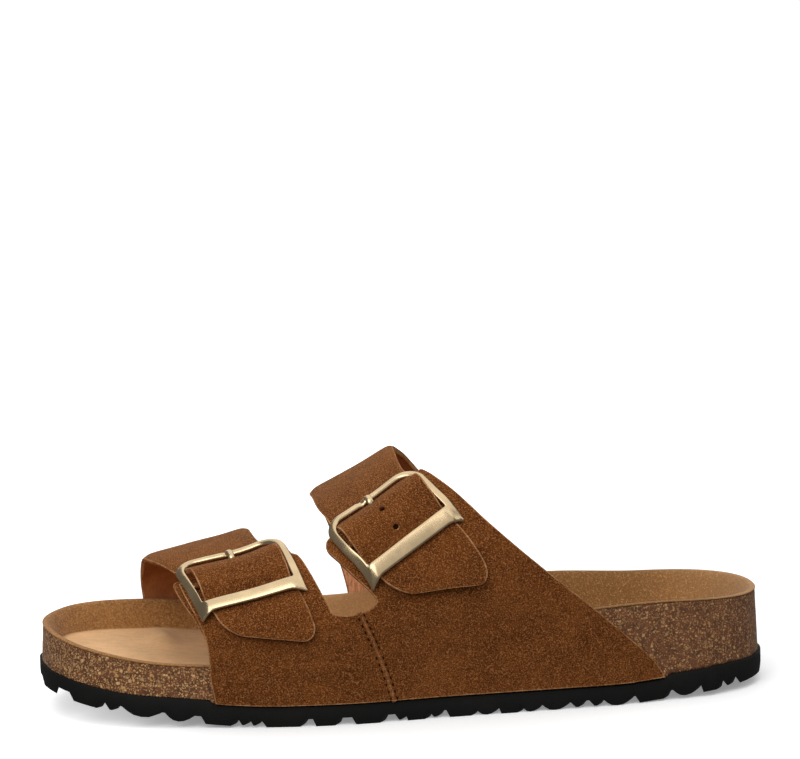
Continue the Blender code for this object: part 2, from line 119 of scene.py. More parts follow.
# Station, outer rim, inner rim, crest of the instep, floor of the dish, heights above the ground
HEIGHTS = (
    (0.0, 30.2, 30.2, 44.0, 23.6),
    (13.0, 26.9, 30.8, 46.0, 22.2),
    (36.0, 22.9, 29.6, 49.6, 19.9),
    (58.0, 21.6, 28.0, 54.6, 18.0),
    (76.0, 21.8, 27.6, 59.4, 17.0),
    (98.0, 23.2, 27.6, 71.0, 17.2),
    (116.0, 25.0, 28.6, 80.0, 18.0),
    (130.0, 26.8, 31.0, 88.0, 18.8),
    (155.0, 30.6, 35.0, 100.0, 20.0),
    (195.0, 35.0, 34.6, 104.0, 20.4),
    (225.0, 35.4, 33.0, 104.0, 20.2),
    (262.0, 33.4, 33.4, 104.0, 23.0),
)
OUTER_RIM, INNER_RIM, CREST, DISH_FLOOR = 1, 2, 3, 4

# Lugs on the tread's outer edge: first station, length, form
LUGS = (
    (0.6, 5.4, "block"),
    (9.6, 10.4, "block"),
    (21.6, 3.6, "tooth"),
    (27.3, 13.0, "wave"),
    (42.0, 9.0, "wave"),
    (54.4, 11.4, "block"),
    (67.0, 3.2, "tooth"),
    (71.0, 2.8, "tooth"),
    (74.8, 15.2, "block"),
    (92.7, 8.7, "block"),
    (106.3, 11.3, "block"),
    (121.5, 3.4, "tooth"),
    (125.1, 8.0, "block"),
    (133.6, 4.2, "tooth"),
    (139.8, 10.1, "block"),
    (150.0, 8.2, "wave"),
    (158.4, 7.8, "block"),
    (166.4, 7.0, "wave"),
    (173.6, 10.0, "wave"),
    (184.0, 5.0, "tooth"),
    (191.0, 4.4, "tooth"),
    (196.0, 10.6, "wave"),
    (208.0, 12.0, "block"),
    (222.0, 9.6, "wave"),
    (232.6, 7.0, "block"),
    (241.4, 3.8, "tooth"),
    (246.7, 14.0, "block"),
)
# Outline of each form of lug: share of its length, share of the tread's depth that is cut away
LUG_FORMS = {
    "block": ((0.0, 1.0), (0.13, 0.0), (0.87, 0.0), (1.0, 1.0)),
    "tooth": ((0.0, 1.0), (0.42, 0.2), (0.62, 0.2), (1.0, 1.0)),
    "wave": ((0.0, 1.0), (0.14, 0.5), (0.3, 0.12), (0.5, 0.0), (0.7, 0.12), (0.86, 0.5), (1.0, 1.0)),
}

# Footbed and insole
GAP = 0.3
WALL_FLARE = 0.8
SPINE_ENDS = (44.0, 224.0)
# The dish's wall: share of the way out where it starts at the toe and heel, stations between which that
# changes, sharpness of its foot at the toe and stations between which that fades
WALL_FROM = (0.88, 0.735)
WALL_CHANGES = (30.0, 150.0)
WALL_SHARP = 0.55
SHARP_FADES = (60.0, 150.0)
# Rim's width and rounding, the lip's drop and stand outwards, and the share of its rows that turn it over
RIM_WIDE = 1.0
RIM_ROUND = 0.4
LIP_DROP = 0.45
LIP_PROUD = 0.25
LIP_TURNED = 0.8
INSOLE_EDGE = 0.3
CORK_GAP = 0.25
CORK_GRAIN = 0.16
CORK_PIT = 2.2
AROUND = 480
FLOOR_ROWS, WALL_ROWS, LIP_ROWS = 34, 24, 12
# Rows before and after the foot of the wall, and before the lip, over which the suede's look changes
WALL_BLEND = (2.5, 1.5)
LIP_BLEND = 3
CORK_ROWS, DISH_ROWS, BASE_ROWS = 26, 30, 5
# Swellings of the dish: station, offset towards the inner side, height, reach along, reach across
SWELLINGS = (
    (45.0, 18.0, 3.2, 5.0, 15.0),
    (108.0, 1.0, 2.4, 13.0, 10.0),
    (146.0, 24.0, 6.5, 26.0, 9.0),
    (150.0, -30.0, 2.0, 24.0, 8.0),
)

# Upper
CREST_OFFSET = 3.0
ARCH_POWER = 2.1
FOOT_LAP = 0.02
NOTCH_POWER = 3
CORNER_POWER = 6
# Lap, front and rear edge of the front tab, then of the rear tab, on the outer panel
OUTER_EDGES = (
    (0.0, 59.5, 100.0, 133.0, 219.4),
    (0.2, 59.1, 100.0, 132.2, 216.3),
    (0.4, 58.6, 100.0, 131.0, 211.5),
    (0.7, 58.0, 100.2, 128.0, 202.8),
    (0.9, 58.0, 100.8, 124.3, 196.8),
    (1.0, 58.0, 101.2, 122.0, 193.5),
    (1.06, 57.8, 101.5, 120.6, 186.0),
    (1.15, 57.2, 101.6, 118.2, 175.3),
    (1.22, 56.0, 99.6, 115.2, 167.6),
    (1.32, 54.0, 96.8, 109.0, 158.0),
    (1.4, 52.3, 94.6, 104.8, 151.8),
    (1.5, 50.4, 91.9, 100.5, 145.4),
    (1.6, 49.0, 88.6, 101.0, 139.7),
    (1.7, 48.4, 86.0, 101.5, 135.0),
)
# Lap, front and rear edge of the front strap, then of the rear strap, from the buckles to the inner foot
INNER_EDGES = (
    (1.6, 51.0, 82.0, 104.2, 132.0),
    (1.7, 48.4, 80.4, 101.7, 130.8),
    (1.8, 45.9, 78.8, 100.1, 129.7),
    (1.9, 43.4, 77.6, 99.5, 129.5),
    (2.1, 39.6, 77.0, 99.6, 130.4),
    (2.3, 39.0, 77.2, 101.4, 134.4),
    (2.6, 38.8, 79.4, 108.0, 145.4),
    (2.85, 39.0, 85.0, 113.0, 163.0),
    (3.0, 39.6, 88.0, 116.1, 177.0),
    (3.1, 39.8, 88.4, 116.8, 180.4),
    (3.5, 41.0, 89.0, 117.0, 193.0),
    (4.0, 43.0, 89.0, 117.0, 206.0),
)
TAB_EDGES = {"front": (1, 2), "gap": (2, 3), "rear": (3, 4)}
# Lap of the notch between the tabs at its bottom and side, rows and columns of cells, wear and painted
# highlight along the seam
OUTER_GRID = dict(foot=FOOT_LAP, notch=1.16, notch_side=1.19, panel_rows=46, tab_rows=40, wear_and_highlight=0.7,
                  columns={"front": 46, "gap": 44, "rear": 88})
INNER_GRID = dict(foot=4 - FOOT_LAP, notch=3.16, notch_side=3.08, panel_rows=30, tab_rows=150, wear_and_highlight=0.0,
                  columns={"front": 42, "gap": 26, "rear": 46})
# Outer tabs: lap of the top's middle, then rise of its front and rear corner with the drop that rounds it
TAB_TOPS = {"front": (1.545, (0.08, 0.05), (0.05, 0.06)), "rear": (1.575, (0.03, 0.07), (0.13, 0.13))}
TAB_CORNER_FROM = 0.8
# Straps: lap of the free end's line at the strap's front and rear edge
STRAP_ENDS = {"front": (1.189, 1.074), "rear": (1.176, 1.121)}
STRAP_HALF = {"front": 15.6, "rear": 16.3}
STRAP_END_ROUND = 6.5
STRAP_END_ROWS = 14
STRAP_END_EASE = 0.7
# Crown of the strap in the buckle, with the distances along the buckle where it grows and fades
STRAP_CROWN = 0.5
CROWN_GROWS = (-8.0, -4.0)
CROWN_FADES = (4.0, 12.0)
# Rolled edges of the straps over the foot, with the laps where the roll grows and fades
STRAP_ROLL = 1.4
STRAP_ROLL_POWER = 12
ROLL_GROWS = (1.6, 1.8)
ROLL_FADES = (2.5, 2.9)
# A punched hole draws in the border up to this many radii away
HOLE_REACH = 2.5
# Distances along the buckle between which a strap narrows from its width over the foot
BUCKLE_ENTRY = {"front": (8.0, 13.0), "rear": (9.5, 20.0)}
# Folded inner layer of the front tab: laps of its ends, how far it shows past the tab's front edge, share
# of its height where that is full, where its corner rounds, share of the suede's thickness, cells
FOLD_LAPS = (1.1, 1.635)
FOLD_SHOWS = 1.6
FOLD_SHOWN_BY = 0.8
FOLD_ROUND = 0.93
FOLD_THIN = 0.8
FOLD_GRID = (44, 44)
# Lap, station of the seam that joins the two halves of the outer panel
SEAM = (
    (0.0, 121.5),
    (0.22, 120.4),
    (0.46, 119.2),
    (0.71, 117.75),
    (0.88, 116.75),
    (1.0, 115.95),
    (1.05, 114.1),
    (1.13, 111.35),
    (1.2, 108.9),
)
SEAM_RIDGE = 0.75
SEAM_HALF = 0.8
SEAM_FURROW = 0.35
FURROW_HALF = 0.5
SEAM_FINE = 1.4
SEAM_BEAD = 0.3
SEAM_BEAD_LAP = 0.13
SEAM_FADES = (1.16, 1.2)
# Width, as a share of the gap's columns, of the seam's wear and painted highlight
SEAM_WEAR_HIGHLIGHT_SHARE = 0.045
# Stitches: distance from the seam, laps of their ends, lap step that gives their direction, share of the
# furrow's depth that they sink, length to width
STITCH_ROW = 1.1
STITCH_LAPS = (0.06, 1.15)
STITCH_STEP = 0.02
STITCH_SUNK = 0.7
STITCH_LONG = 1.9
STITCH_SIDES, STITCH_RINGS = 8, 6
# Soft troughs of the outer panel: station, lap, depth, reach along and across, slant in laps to a mm
CREASES = (
    (70.0, 1.05, 0.35, 26.0, 0.05, -0.003),
    (112.0, 1.06, 0.3, 12.0, 0.07, 0.004),
    (150.0, 1.08, 0.4, 30.0, 0.06, -0.006),
    (165.0, 0.72, 0.3, 40.0, 0.12, 0.002),
    (92.0, 0.5, 0.25, 24.0, 0.14, -0.002),
)
PANEL_FEATHER = 0.32
STRAP_FEATHER = 0.5
RAW_EDGE = 2
NAP_SWELL = 0.14
NAP_SWELL_SIZE = 11.0

# Buckles: centre station and lap, sideways scale, mm of arc to a lap, lean along and across the strap,
# the prong's distance to the side of the middle, distances along of the end bar and of the keeper,
# the keeper's width, slant and bow, how far its left and right feet drop, the frame's taper towards its end
BUCKLES = {
    "front": dict(station=69.8, lap=1.517, scale=0.97, arc=70.0, lean=-0.25, tilt=0.0, prong=1.3,
                  end=13.8, keeper=-10.5, wide=4.8, slant=0.05, bow=1.3, feet=(4.0, 2.4), taper=0.0),
    "rear": dict(station=124.4, lap=1.49, scale=0.88, arc=79.0, lean=-0.45, tilt=0.17, prong=-2.8,
                 end=12.1, keeper=-11.35, wide=5.35, slant=0.045, bow=0.2, feet=(2.8, 1.6), taper=0.0015),
}
# Distance along the buckle, sideways sway of the frame and of the strap
SWAY = {
    "front": ((-30.0, 1.4, 3.4), (-24.0, 1.2, 3.1), (-16.0, 0.9, 2.4), (-8.0, 0.5, 1.1), (0.0, 0.2, 0.8),
              (14.0, -0.4, 0.8)),
    "rear": ((-30.0, 0.6, 5.8), (-24.0, 0.5, 4.6), (-16.0, 0.6, 2.2), (-8.0, -0.3, -0.5), (0.0, -1.9, -1.8),
             (14.0, -3.0, -1.4)),
}
FRAME_SWAY, STRAP_SWAY = 1, 2
# Holes punched in the straps: distance across and along the buckle
STRAP_HOLES = {
    "front": ((3.2, 9.4),),
    "rear": ((-2.7, 3.7), (-1.8, -4.4), (-2.8, 9.6)),
}
BAR_HALF = 12.4
WINDOW_HALF = 16.5
FRAME_HALF = 19.5
END_BAR = 2.5
CORNER_ROUND = 8.0
WINDOW_ROUND = 5.4
FOOT_ROUND = 0.6
FOOT_FROM = 0.68
FOOT_POWER = 1.8
FRAME_LOW = 2.4
FRAME_THICK = 2.4
KEEPER_LOW = 3.9
KEEPER_THICK = 1.7
CENTRE_LIFT = 3.0
CENTRE_RADIUS = 0.6
SLEEVE_RADIUS = 1.05
SLEEVE_SHORT = 0.4
BAR_INTO_FRAME = 1.0
# Share of a rod's length on each side of a place that gives its direction there
ROD_STEP = 0.01
SLEEVE_STEPS, SLEEVE_SIDES = 40, 16
BAR_STEPS, BAR_SIDES = 24, 12
FRAME_STEPS, FRAME_SIDES = 260, 20
# Half a frame's walk from the keeper's middle: share where each stretch ends, and where the side bar's
# fall is full
KEEPER_ENDS, FOOT_ENDS, SIDE_ENDS, CORNER_ENDS = 0.27, 0.33, 0.55, 0.72
SIDE_FULL = 0.4
# Share of the frame's half width where the keeper starts to come down to its feet
KEEPER_FALLS = 0.78
# Roundness of the frame's section at the keeper, the side bars and the end bar
KEEPER_POWER, SIDE_POWER, END_POWER = 3.4, 2.6, 2.0
# Fall of the left and right bars' top towards the outside and of the end bar's towards the window
SIDE_FALLS = (0.55, 0.2)
END_FALL = 0.15
# Distance from the centre bar towards the crest, height of the strap's underside over the last
STRAP_RISE = (
    (-40.0, 3.1),
    (-22.0, 2.6),
    (-16.0, 1.8),
    (-12.4, 1.5),
    (-8.5, 1.6),
    (-4.0, 3.5),
    (-1.5, 4.2),
    (1.5, 4.4),
    (4.0, 4.5),
    (7.0, 3.8),
    (9.4, 2.4),
    (11.4, 0.7),
    (13.0, GAP),
    (200.0, GAP),
)
# The prong's path: distance from the centre bar, height over the last
PRONG = (
    (0.9, 3.05),
    (5.2, 2.2),
    (7.6, 2.2),
    (9.4, 3.0),
    (10.6, 4.1),
    (12.4, 4.6),
    (13.9, 4.2),
)
PRONG_HALF = 1.25
PRONG_TALL = 0.6
PRONG_TIP = 0.9
SEAT_DEPTH = 0.75
SEAT_HALF = 1.6
PRONG_STEPS, PRONG_SIDES = 40, 14

# Places on the shoe in metres, between which a finish changes: the gap between the straps and its top,
# where painted light falls, the heel's end with painted light, the wall's heel with painted shade, the worn
# floor and the toe, where the cork's grains get painted light
GAP_STARTS, GAP_STOPS, GAP_TOP = (-0.05, -0.03), (0.0, 0.02), (0.046, 0.056)
HEEL_LIGHT_GROWS = (0.085, 0.135)
WALL_DARKENS = (-0.09, 0.06)
FLOOR_WORN = (-0.06, 0.03)
CORK_TOE_LIGHT_FADES = (-0.13, 0.06)
# Cork grains: size, share left out, softness of the edge
CORK_GRAINS = ((0.55, 0.32, 0.24), (0.9, 0.42, 0.2), (1.45, 0.84, 0.14))
GRAIN_EDGE = 0.52

# Camera and light
CAMERA_DISTANCE = 1200.0
CAMERA_TARGET = 35.0
CAMERA_ELEVATION = math.radians(11.3)
CAMERA_YAW = math.radians(7.0)
CAMERA_ROLL = math.radians(1.6)
CAMERA_PAN = 0.00134
CAMERA_TILT = 0.06492
CAMERA_LENS = 148.9
SENSOR = 36.0
FLOOR_HALF = 40.0
# Shares of the floor's own light at the toe and heel, places between which they change, and distances
# from the shoe over which the light grows, in metres
FLOOR_GLOW = (0.62, 0.27)
GLOW_CHANGES = (-0.12, -0.07)
GLOW_REACH = (0.16, 0.6)
WORLD_LIGHT = 0.19
# Soft boxes: name, place in metres, size in metres, power in watts
SOFT_BOXES = (
    ("Sky box", (0.0, 0.0, 2.2), 3.0, 34.0),
    ("Front box", (0.0, -2.4, 1.7), 3.0, 17.0),
    ("Left box", (-1.2, -1.6, 1.4), 1.4, 19.0),
    ("Right box", (1.6, -0.6, 1.2), 1.0, 4.0),
    ("Back box", (0.0, 1.6, 1.1), 1.6, 9.0),
)


def length_prop(name, description, millimetres):
    return FloatProperty(name=name, description=description, default=millimetres * MM, unit="LENGTH",
                         precision=5)


def colour_prop(name, description, default):
    return FloatVectorProperty(name=name, description=description, default=default, subtype="COLOR",
                               min=0.0, max=1.0)


class SandalSizes(bpy.types.PropertyGroup):
    """Sizes that a user would change"""
    suede: length_prop("Suede", "Thickness of the upper's suede", 1.7)
    insole: length_prop("Insole", "Thickness of the footbed's suede cover", 1.1)
    raw_edge: length_prop("Raw edge", "Rounding of a cut suede edge", 0.25)
    hole: length_prop("Hole radius", "Radius of the holes punched in the straps", 1.25)
    stitch: length_prop("Stitch pitch", "Distance between the seam's needle holes", 2.55)
    thread: length_prop("Thread", "Half width of a stitch in the seam", 0.34)


class SandalColours(bpy.types.PropertyGroup):
    """Colours that a user would change"""
    nap: colour_prop("Nap", "Suede of the upper", (0.2, 0.061, 0.0118))
    nap_dark: colour_prop("Nap hollows", "Suede between the fibres", (0.08, 0.0213, 0.0036))
    nap_light: colour_prop("Nap tips", "Tips of the suede's fibres", (0.5, 0.2, 0.072))
    raw_edge: colour_prop("Raw edge", "Cut edge of the suede", (0.56, 0.30, 0.14))
    lining: colour_prop("Lining", "Inner face of the suede", (0.38, 0.145, 0.046))
    # Painted light: the inner face made lighter between the straps
    lining_lit: colour_prop("Lit lining", "Inner face of the suede between the straps", (1.0, 0.52, 0.28))
    # Painted shade: the inner face made darker in random patches, as in its folds
    lining_shade: colour_prop("Lining shade", "Inner face of the suede in its folds", (0.25, 0.08, 0.022))
    floor: colour_prop("Footbed floor", "Smooth floor of the footbed", (0.83, 0.48, 0.212))
    wall: colour_prop("Footbed wall", "Fuzzy wall of the footbed", (0.43, 0.195, 0.055))
    cork: colour_prop("Cork", "Dark ground of the cork", (0.215, 0.083, 0.034))
    cork_fleck: colour_prop("Cork flecks", "Grains in the cork", (0.7, 0.33, 0.095))
    cork_pale: colour_prop("Pale cork flecks", "Palest grains in the cork", (0.9, 0.56, 0.26))
    foam: colour_prop("Foam", "Black foam of the outsole", (0.0065, 0.006, 0.0055))
    gold: colour_prop("Gold", "Pale gold of the buckles", (0.60, 0.45, 0.265))
    thread: colour_prop("Thread", "Thread of the seam", (0.022, 0.0065, 0.0018))
    stage: colour_prop("Stage", "Floor of the studio", (0.93, 0.93, 0.93))


# Reading tables and curves


def along(rows, column, at):
    """One column of a table read as a smooth curve over the table's first column."""
    at = min(max(at, rows[0][0]), rows[-1][0])
    index = max(i for i in range(len(rows) - 1) if rows[i][0] <= at)

    def slope(i):
        low, high = rows[max(i - 1, 0)], rows[min(i + 1, len(rows) - 1)]
        return (high[column] - low[column]) / (high[0] - low[0])

    first, second = rows[index], rows[index + 1]
    span = second[0] - first[0]
    t = (at - first[0]) / span
    start = (2 * t ** 3 - 3 * t ** 2 + 1) * first[column] + (t ** 3 - 2 * t ** 2 + t) * span * slope(index)
    end = (3 * t ** 2 - 2 * t ** 3) * second[column] + (t ** 3 - t ** 2) * span * slope(index + 1)
    return start + end


def straight(rows, column, at):
    """One column of a table read as straight runs."""
    at = min(max(at, rows[0][0]), rows[-1][0])
    for first, second in zip(rows, rows[1:]):
        if at <= second[0]:
            t = (at - first[0]) / (second[0] - first[0])
            return first[column] + t * (second[column] - first[column])


def clamp(value):
    return min(max(value, 0.0), 1.0)


def mix(a, b, t):
    return a + (b - a) * t


def smooth_step(low, high, value):
    t = clamp((value - low) / (high - low))
    return t * t * (3 - 2 * t)


def hump(distance, reach):
    return math.exp(-(distance / reach) ** 2)


def signed_power(value, power):
    return math.copysign(abs(value) ** power, value)


# Form of the last


def rounding(station):
    """How far the half width closes in at the toe and heel, from 0 at the tips to 1."""
    toe = clamp(1 - station / TOE_ROUND)
    heel = clamp(1 - (LENGTH - station) / HEEL_ROUND)
    return ((1 - toe ** ROUND_POWER) * (1 - heel ** ROUND_POWER)) ** (1 / ROUND_POWER)


def plan_point(station, side, proud):
    """A point of the sole's outline, proud of the footbed's rim by the given distance."""
    half = along(PLAN, OUTER_HALF if side == OUTER else INNER_HALF, station)
    x = (station / LENGTH - 0.5) * (LENGTH - 2 * (SOLE_PROUD - proud))
    y = along(PLAN, SPINE, station) + side * (half + proud) * rounding(station)
    return x, y


def ground(station):
    """Height of the tread: toe spring, flat ball and heel, and the lifted back of the heel."""
    toe = clamp((TOE_FLAT_FROM - station) / TOE_FLAT_FROM)
    heel = clamp((station - HEEL_FLAT_TO) / (LENGTH - HEEL_FLAT_TO))
    return TOE_SPRING * toe ** TOE_POWER + HEEL_LIFT * heel ** HEEL_POWER


def sole_top(x, y):
    """Height of the sole's top, with its step beyond the ends of the suede."""
    station = x + LENGTH / 2
    across = clamp(y / STEP_ACROSS + 0.5)
    toe = smooth_step(0.0, STEP_RUN, mix(*STEP_TOE, across) - station)
    heel = smooth_step(0.0, STEP_RUN, station - mix(*STEP_HEEL, across))
    step = toe * smooth_step(*STEP_TOE_FADES, station) + heel * (1 - smooth_step(*STEP_HEEL_FADES, station))
    return ground(station) + SOLE_THICK + STEP_HIGH * step


def rim(station, side):
    return along(HEIGHTS, OUTER_RIM if side == OUTER else INNER_RIM, station)


def over_last(station, lap, lift):
    """A point over the foot's form at a station and lap, lifted outwards from it."""
    side = OUTER if lap <= 2 else INNER
    climb = lap if lap <= 2 else 4 - lap
    low = ground(station) + SOLE_THICK + GAP
    top = rim(station, side)
    wall = plan_point(station, side, 0.0)[1] + side * lift
    x = station - LENGTH / 2
    if climb <= 1:
        return Vector((x, wall + side * WALL_FLARE * (1 - climb), mix(low, top, climb)))
    turn = (climb - 1) * math.pi / 2
    reach = abs(wall - CREST_OFFSET)
    rise = along(HEIGHTS, CREST, station) + lift - top
    y = CREST_OFFSET + side * reach * abs(math.cos(turn)) ** (2 / ARCH_POWER)
    return Vector((x, y, top + rise * math.sin(turn) ** (2 / ARCH_POWER)))


def dish_height(station, y):
    height = along(HEIGHTS, DISH_FLOOR, station)
    for at, offset, swell, reach, spread in SWELLINGS:
        height += swell * hump(station - at, reach) * hump(y - offset, spread)
    return height


def inward(station, side, proud, share):
    """A point between the spine of the footbed, at share 0, and its outline, at share 1."""
    x, y = plan_point(station, side, proud)
    base = mix(*SPINE_ENDS, station / LENGTH)
    return mix(base - LENGTH / 2, x, share), mix(along(PLAN, SPINE, base), y, share)


def walk(turn):
    """Station and side once round the sole, from the toe along the outer side and back."""
    station = LENGTH * (0.5 - 0.5 * math.cos(2 * math.pi * turn))
    return station, OUTER if turn <= 0.5 else INNER


def on_buckle(buckle, station, lap):
    """Distances across and along a buckle of a place on the last."""
    climb = (lap - buckle["lap"]) * buckle["arc"]
    shift = station - buckle["station"]
    across = (shift - buckle["lean"] * climb) / (buckle["scale"] - buckle["lean"] * buckle["tilt"])
    return across, climb - buckle["tilt"] * across


def at_buckle(buckle, across, length, lift):
    """The point over the last at distances across and along a buckle."""
    station = buckle["station"] + buckle["scale"] * across + buckle["lean"] * length
    lap = buckle["lap"] + (length + buckle["tilt"] * across) / buckle["arc"]
    return over_last(station, lap, lift)


# Shader maths


class Value:
    """A shader value in Python sums: every operator adds a Math node to its material."""

    def __init__(self, finish, socket):
        self.finish = finish
        self.socket = socket

    def maths(self, operation, first, second):
        return self.finish.node("ShaderNodeMath", {"operation": operation}, {0: first, 1: second})

    def __add__(self, other):
        return self.maths("ADD", self, other)

    def __sub__(self, other):
        return self.maths("SUBTRACT", self, other)

    def __rsub__(self, other):
        return self.maths("SUBTRACT", other, self)

    def __mul__(self, other):
        return self.maths("MULTIPLY", self, other)

    __radd__ = __add__


class Finish:
    """A material and the methods that add its nodes. Sizes are in millimetres."""

    def __init__(self, name, **constants):
        self.material = bpy.data.materials.new(name)
        self.material.use_nodes = True
        self.tree = self.material.node_tree
        self.shader = self.tree.nodes["Principled BSDF"]
        for socket, value in constants.items():
            self.shader.inputs[socket.replace("_", " ")].default_value = value
        self.place = self.node("ShaderNodeTexCoord", {}, {}, "Object")

    def node(self, kind, settings, sockets, output=0):
        """One node: its type, its settings, the values or links of its sockets and the output to use."""
        made = self.tree.nodes.new(kind)
        for key, setting in settings.items():
            setattr(made, key, setting)
        for key, value in sockets.items():
            if isinstance(value, Value):
                self.tree.links.new(value.socket, made.inputs[key])
            else:
                made.inputs[key].default_value = value
        return Value(self, made.outputs[output])

    def attribute(self, name):
        return self.node("ShaderNodeAttribute", {"attribute_name": name}, {}, "Fac")

    def axis(self, name):
        return self.node("ShaderNodeSeparateXYZ", {}, {0: self.place}, name)

    def speckle(self, size, detail=2.0, roughness=0.5, place=None):
        sockets = {"Vector": place or self.place, "Scale": 1 / (size * MM), "Detail": detail,
                   "Roughness": roughness}
        return self.node("ShaderNodeTexNoise", {}, sockets)

    def bent(self, size, reach):
        """The place, bent by noise, so that grains are uneven."""
        sockets = {"Vector": self.place, "Scale": 1 / (size * MM)}
        noise_colour = self.node("ShaderNodeTexNoise", {}, sockets, "Color")
        sockets = {0: noise_colour, 1: (reach * MM, reach * MM, reach * MM), 2: self.place}
        return self.node("ShaderNodeVectorMath", {"operation": "MULTIPLY_ADD"}, sockets, "Vector")

    def grains(self, size, output, place):
        sockets = {"Vector": place, "Scale": 1 / (size * MM)}
        return self.node("ShaderNodeTexVoronoi", {}, sockets, output)

    def between_straps(self):
        """1 low down between the two straps, 0 away from there: where painted light lightens the lining and
        the footbed.
        """
        along_shoe = self.rise(self.axis("X"), *GAP_STARTS) * (1 - self.rise(self.axis("X"), *GAP_STOPS))
        return along_shoe * (1 - self.rise(self.axis("Z"), *GAP_TOP))

    def channel(self, colour, name):
        return self.node("ShaderNodeSeparateColor", {}, {0: colour}, name)

    def rise(self, value, low, high):
        """0 below low, 1 above high and a soft step between them."""
        sockets = {"Value": value, "From Min": low, "From Max": high}
        return self.node("ShaderNodeMapRange", {"interpolation_type": "SMOOTHSTEP"}, sockets)

    def blend(self, factor, first, second):
        """A colour between two colours."""
        ends = [end if isinstance(end, Value) else (*end, 1.0) for end in (first, second)]
        return self.node("ShaderNodeMix", {"data_type": "RGBA"}, {0: factor, 6: ends[0], 7: ends[1]}, 2)

    def bump(self, height, depth, under=None):
        sockets = {"Height": height, "Distance": depth * MM}
        if under:
            sockets["Normal"] = under
        return self.node("ShaderNodeBump", {}, sockets, "Normal")

    def set(self, **links):
        for socket, value in links.items():
            self.tree.links.new(value.socket, self.shader.inputs[socket.replace("_", " ")])
        return self.material


def shade(colour, share):
    """A colour made darker or lighter."""
    return tuple(share * part for part in colour)


def suede_finish(colours):
    """Napped suede: dark hollows, fibre tips that catch the light, soft brushed patches, and wear with a
    painted highlight along the seam.
    """
    finish = Finish("Suede nap", Roughness=0.95, Specular_IOR_Level=0.05, Sheen_Weight=0.22,
                    Sheen_Roughness=0.5, Sheen_Tint=(1.0, 0.64, 0.34, 1.0))
    fibre = finish.speckle(0.5, 2.0, 0.6)
    tips = finish.speckle(0.42, 1.0, 0.5)
    patch = finish.speckle(16.0, 3.0, 0.55)
    brushed = finish.speckle(5.0, 2.0, 0.5)
    tone = finish.rise(fibre * 0.8 + patch * 0.25 + brushed * 0.15, 0.48, 0.72)
    colour = finish.blend(tone, colours.nap_dark, colours.nap)
    lit = finish.rise(tips, 0.54, 0.64)
    colour = finish.blend(lit * 0.6, colour, colours.nap_light)
    # Wear and painted highlight on the seam's ridge
    seam_wear_and_highlight = finish.attribute("wear_and_highlight") * finish.rise(fibre, 0.3, 0.6)
    colour = finish.blend(seam_wear_and_highlight, colour, colours.nap_light)
    relief = finish.bump(fibre, 0.25)
    relief = finish.bump(tips, 0.25, relief)
    return finish.set(Base_Color=colour, Normal=relief)


def raw_edge_finish(colours):
    """The paler, fuzzy cut edge of the suede."""
    finish = Finish("Suede cut edge", Roughness=0.95, Specular_IOR_Level=0.05)
    fibre = finish.speckle(0.6, 3.0, 0.7)
    patch = finish.speckle(7.0)
    tone = finish.rise(fibre * 0.7 + patch * 0.4, 0.35, 0.75)
    colour = finish.blend(tone, colours.nap, colours.raw_edge)
    return finish.set(Base_Color=colour, Normal=finish.bump(fibre, 0.3))


def lining_finish(colours):
    """The suede's smooth inner face: fine pores, random patches of painted shade, and upright wrinkles
    lightened with painted light between the straps.
    """
    finish = Finish("Suede inner face", Specular_IOR_Level=0.25)
    pores = finish.speckle(0.5, 2.0, 0.6)
    upright = finish.node("ShaderNodeMapping", {}, {"Vector": finish.place, "Scale": (1.0, 1.0, 0.35)})
    wrinkles = finish.speckle(0.8, 3.0, 0.6, upright)
    patch = finish.speckle(12.0, 3.0, 0.6)
    # Random patches of painted shade
    colour = finish.blend(finish.rise(patch, 0.3, 0.75), colours.lining_shade, colours.lining)
    # Painted light between the straps, streaked by the wrinkles
    wear_and_light = finish.between_straps() * (finish.rise(wrinkles, 0.35, 0.65) * 0.55 + 0.45)
    colour = finish.blend(wear_and_light, colour, colours.lining_lit)
    colour = finish.blend(finish.rise(pores, 0.55, 0.8) * 0.15, colour, colours.raw_edge)
    relief = finish.bump(finish.speckle(3.0, 3.0), 0.25)
    relief = finish.bump(wrinkles, 0.25, relief)
    return finish.set(Base_Color=colour, Roughness=0.55 + patch * 0.3, Normal=relief)


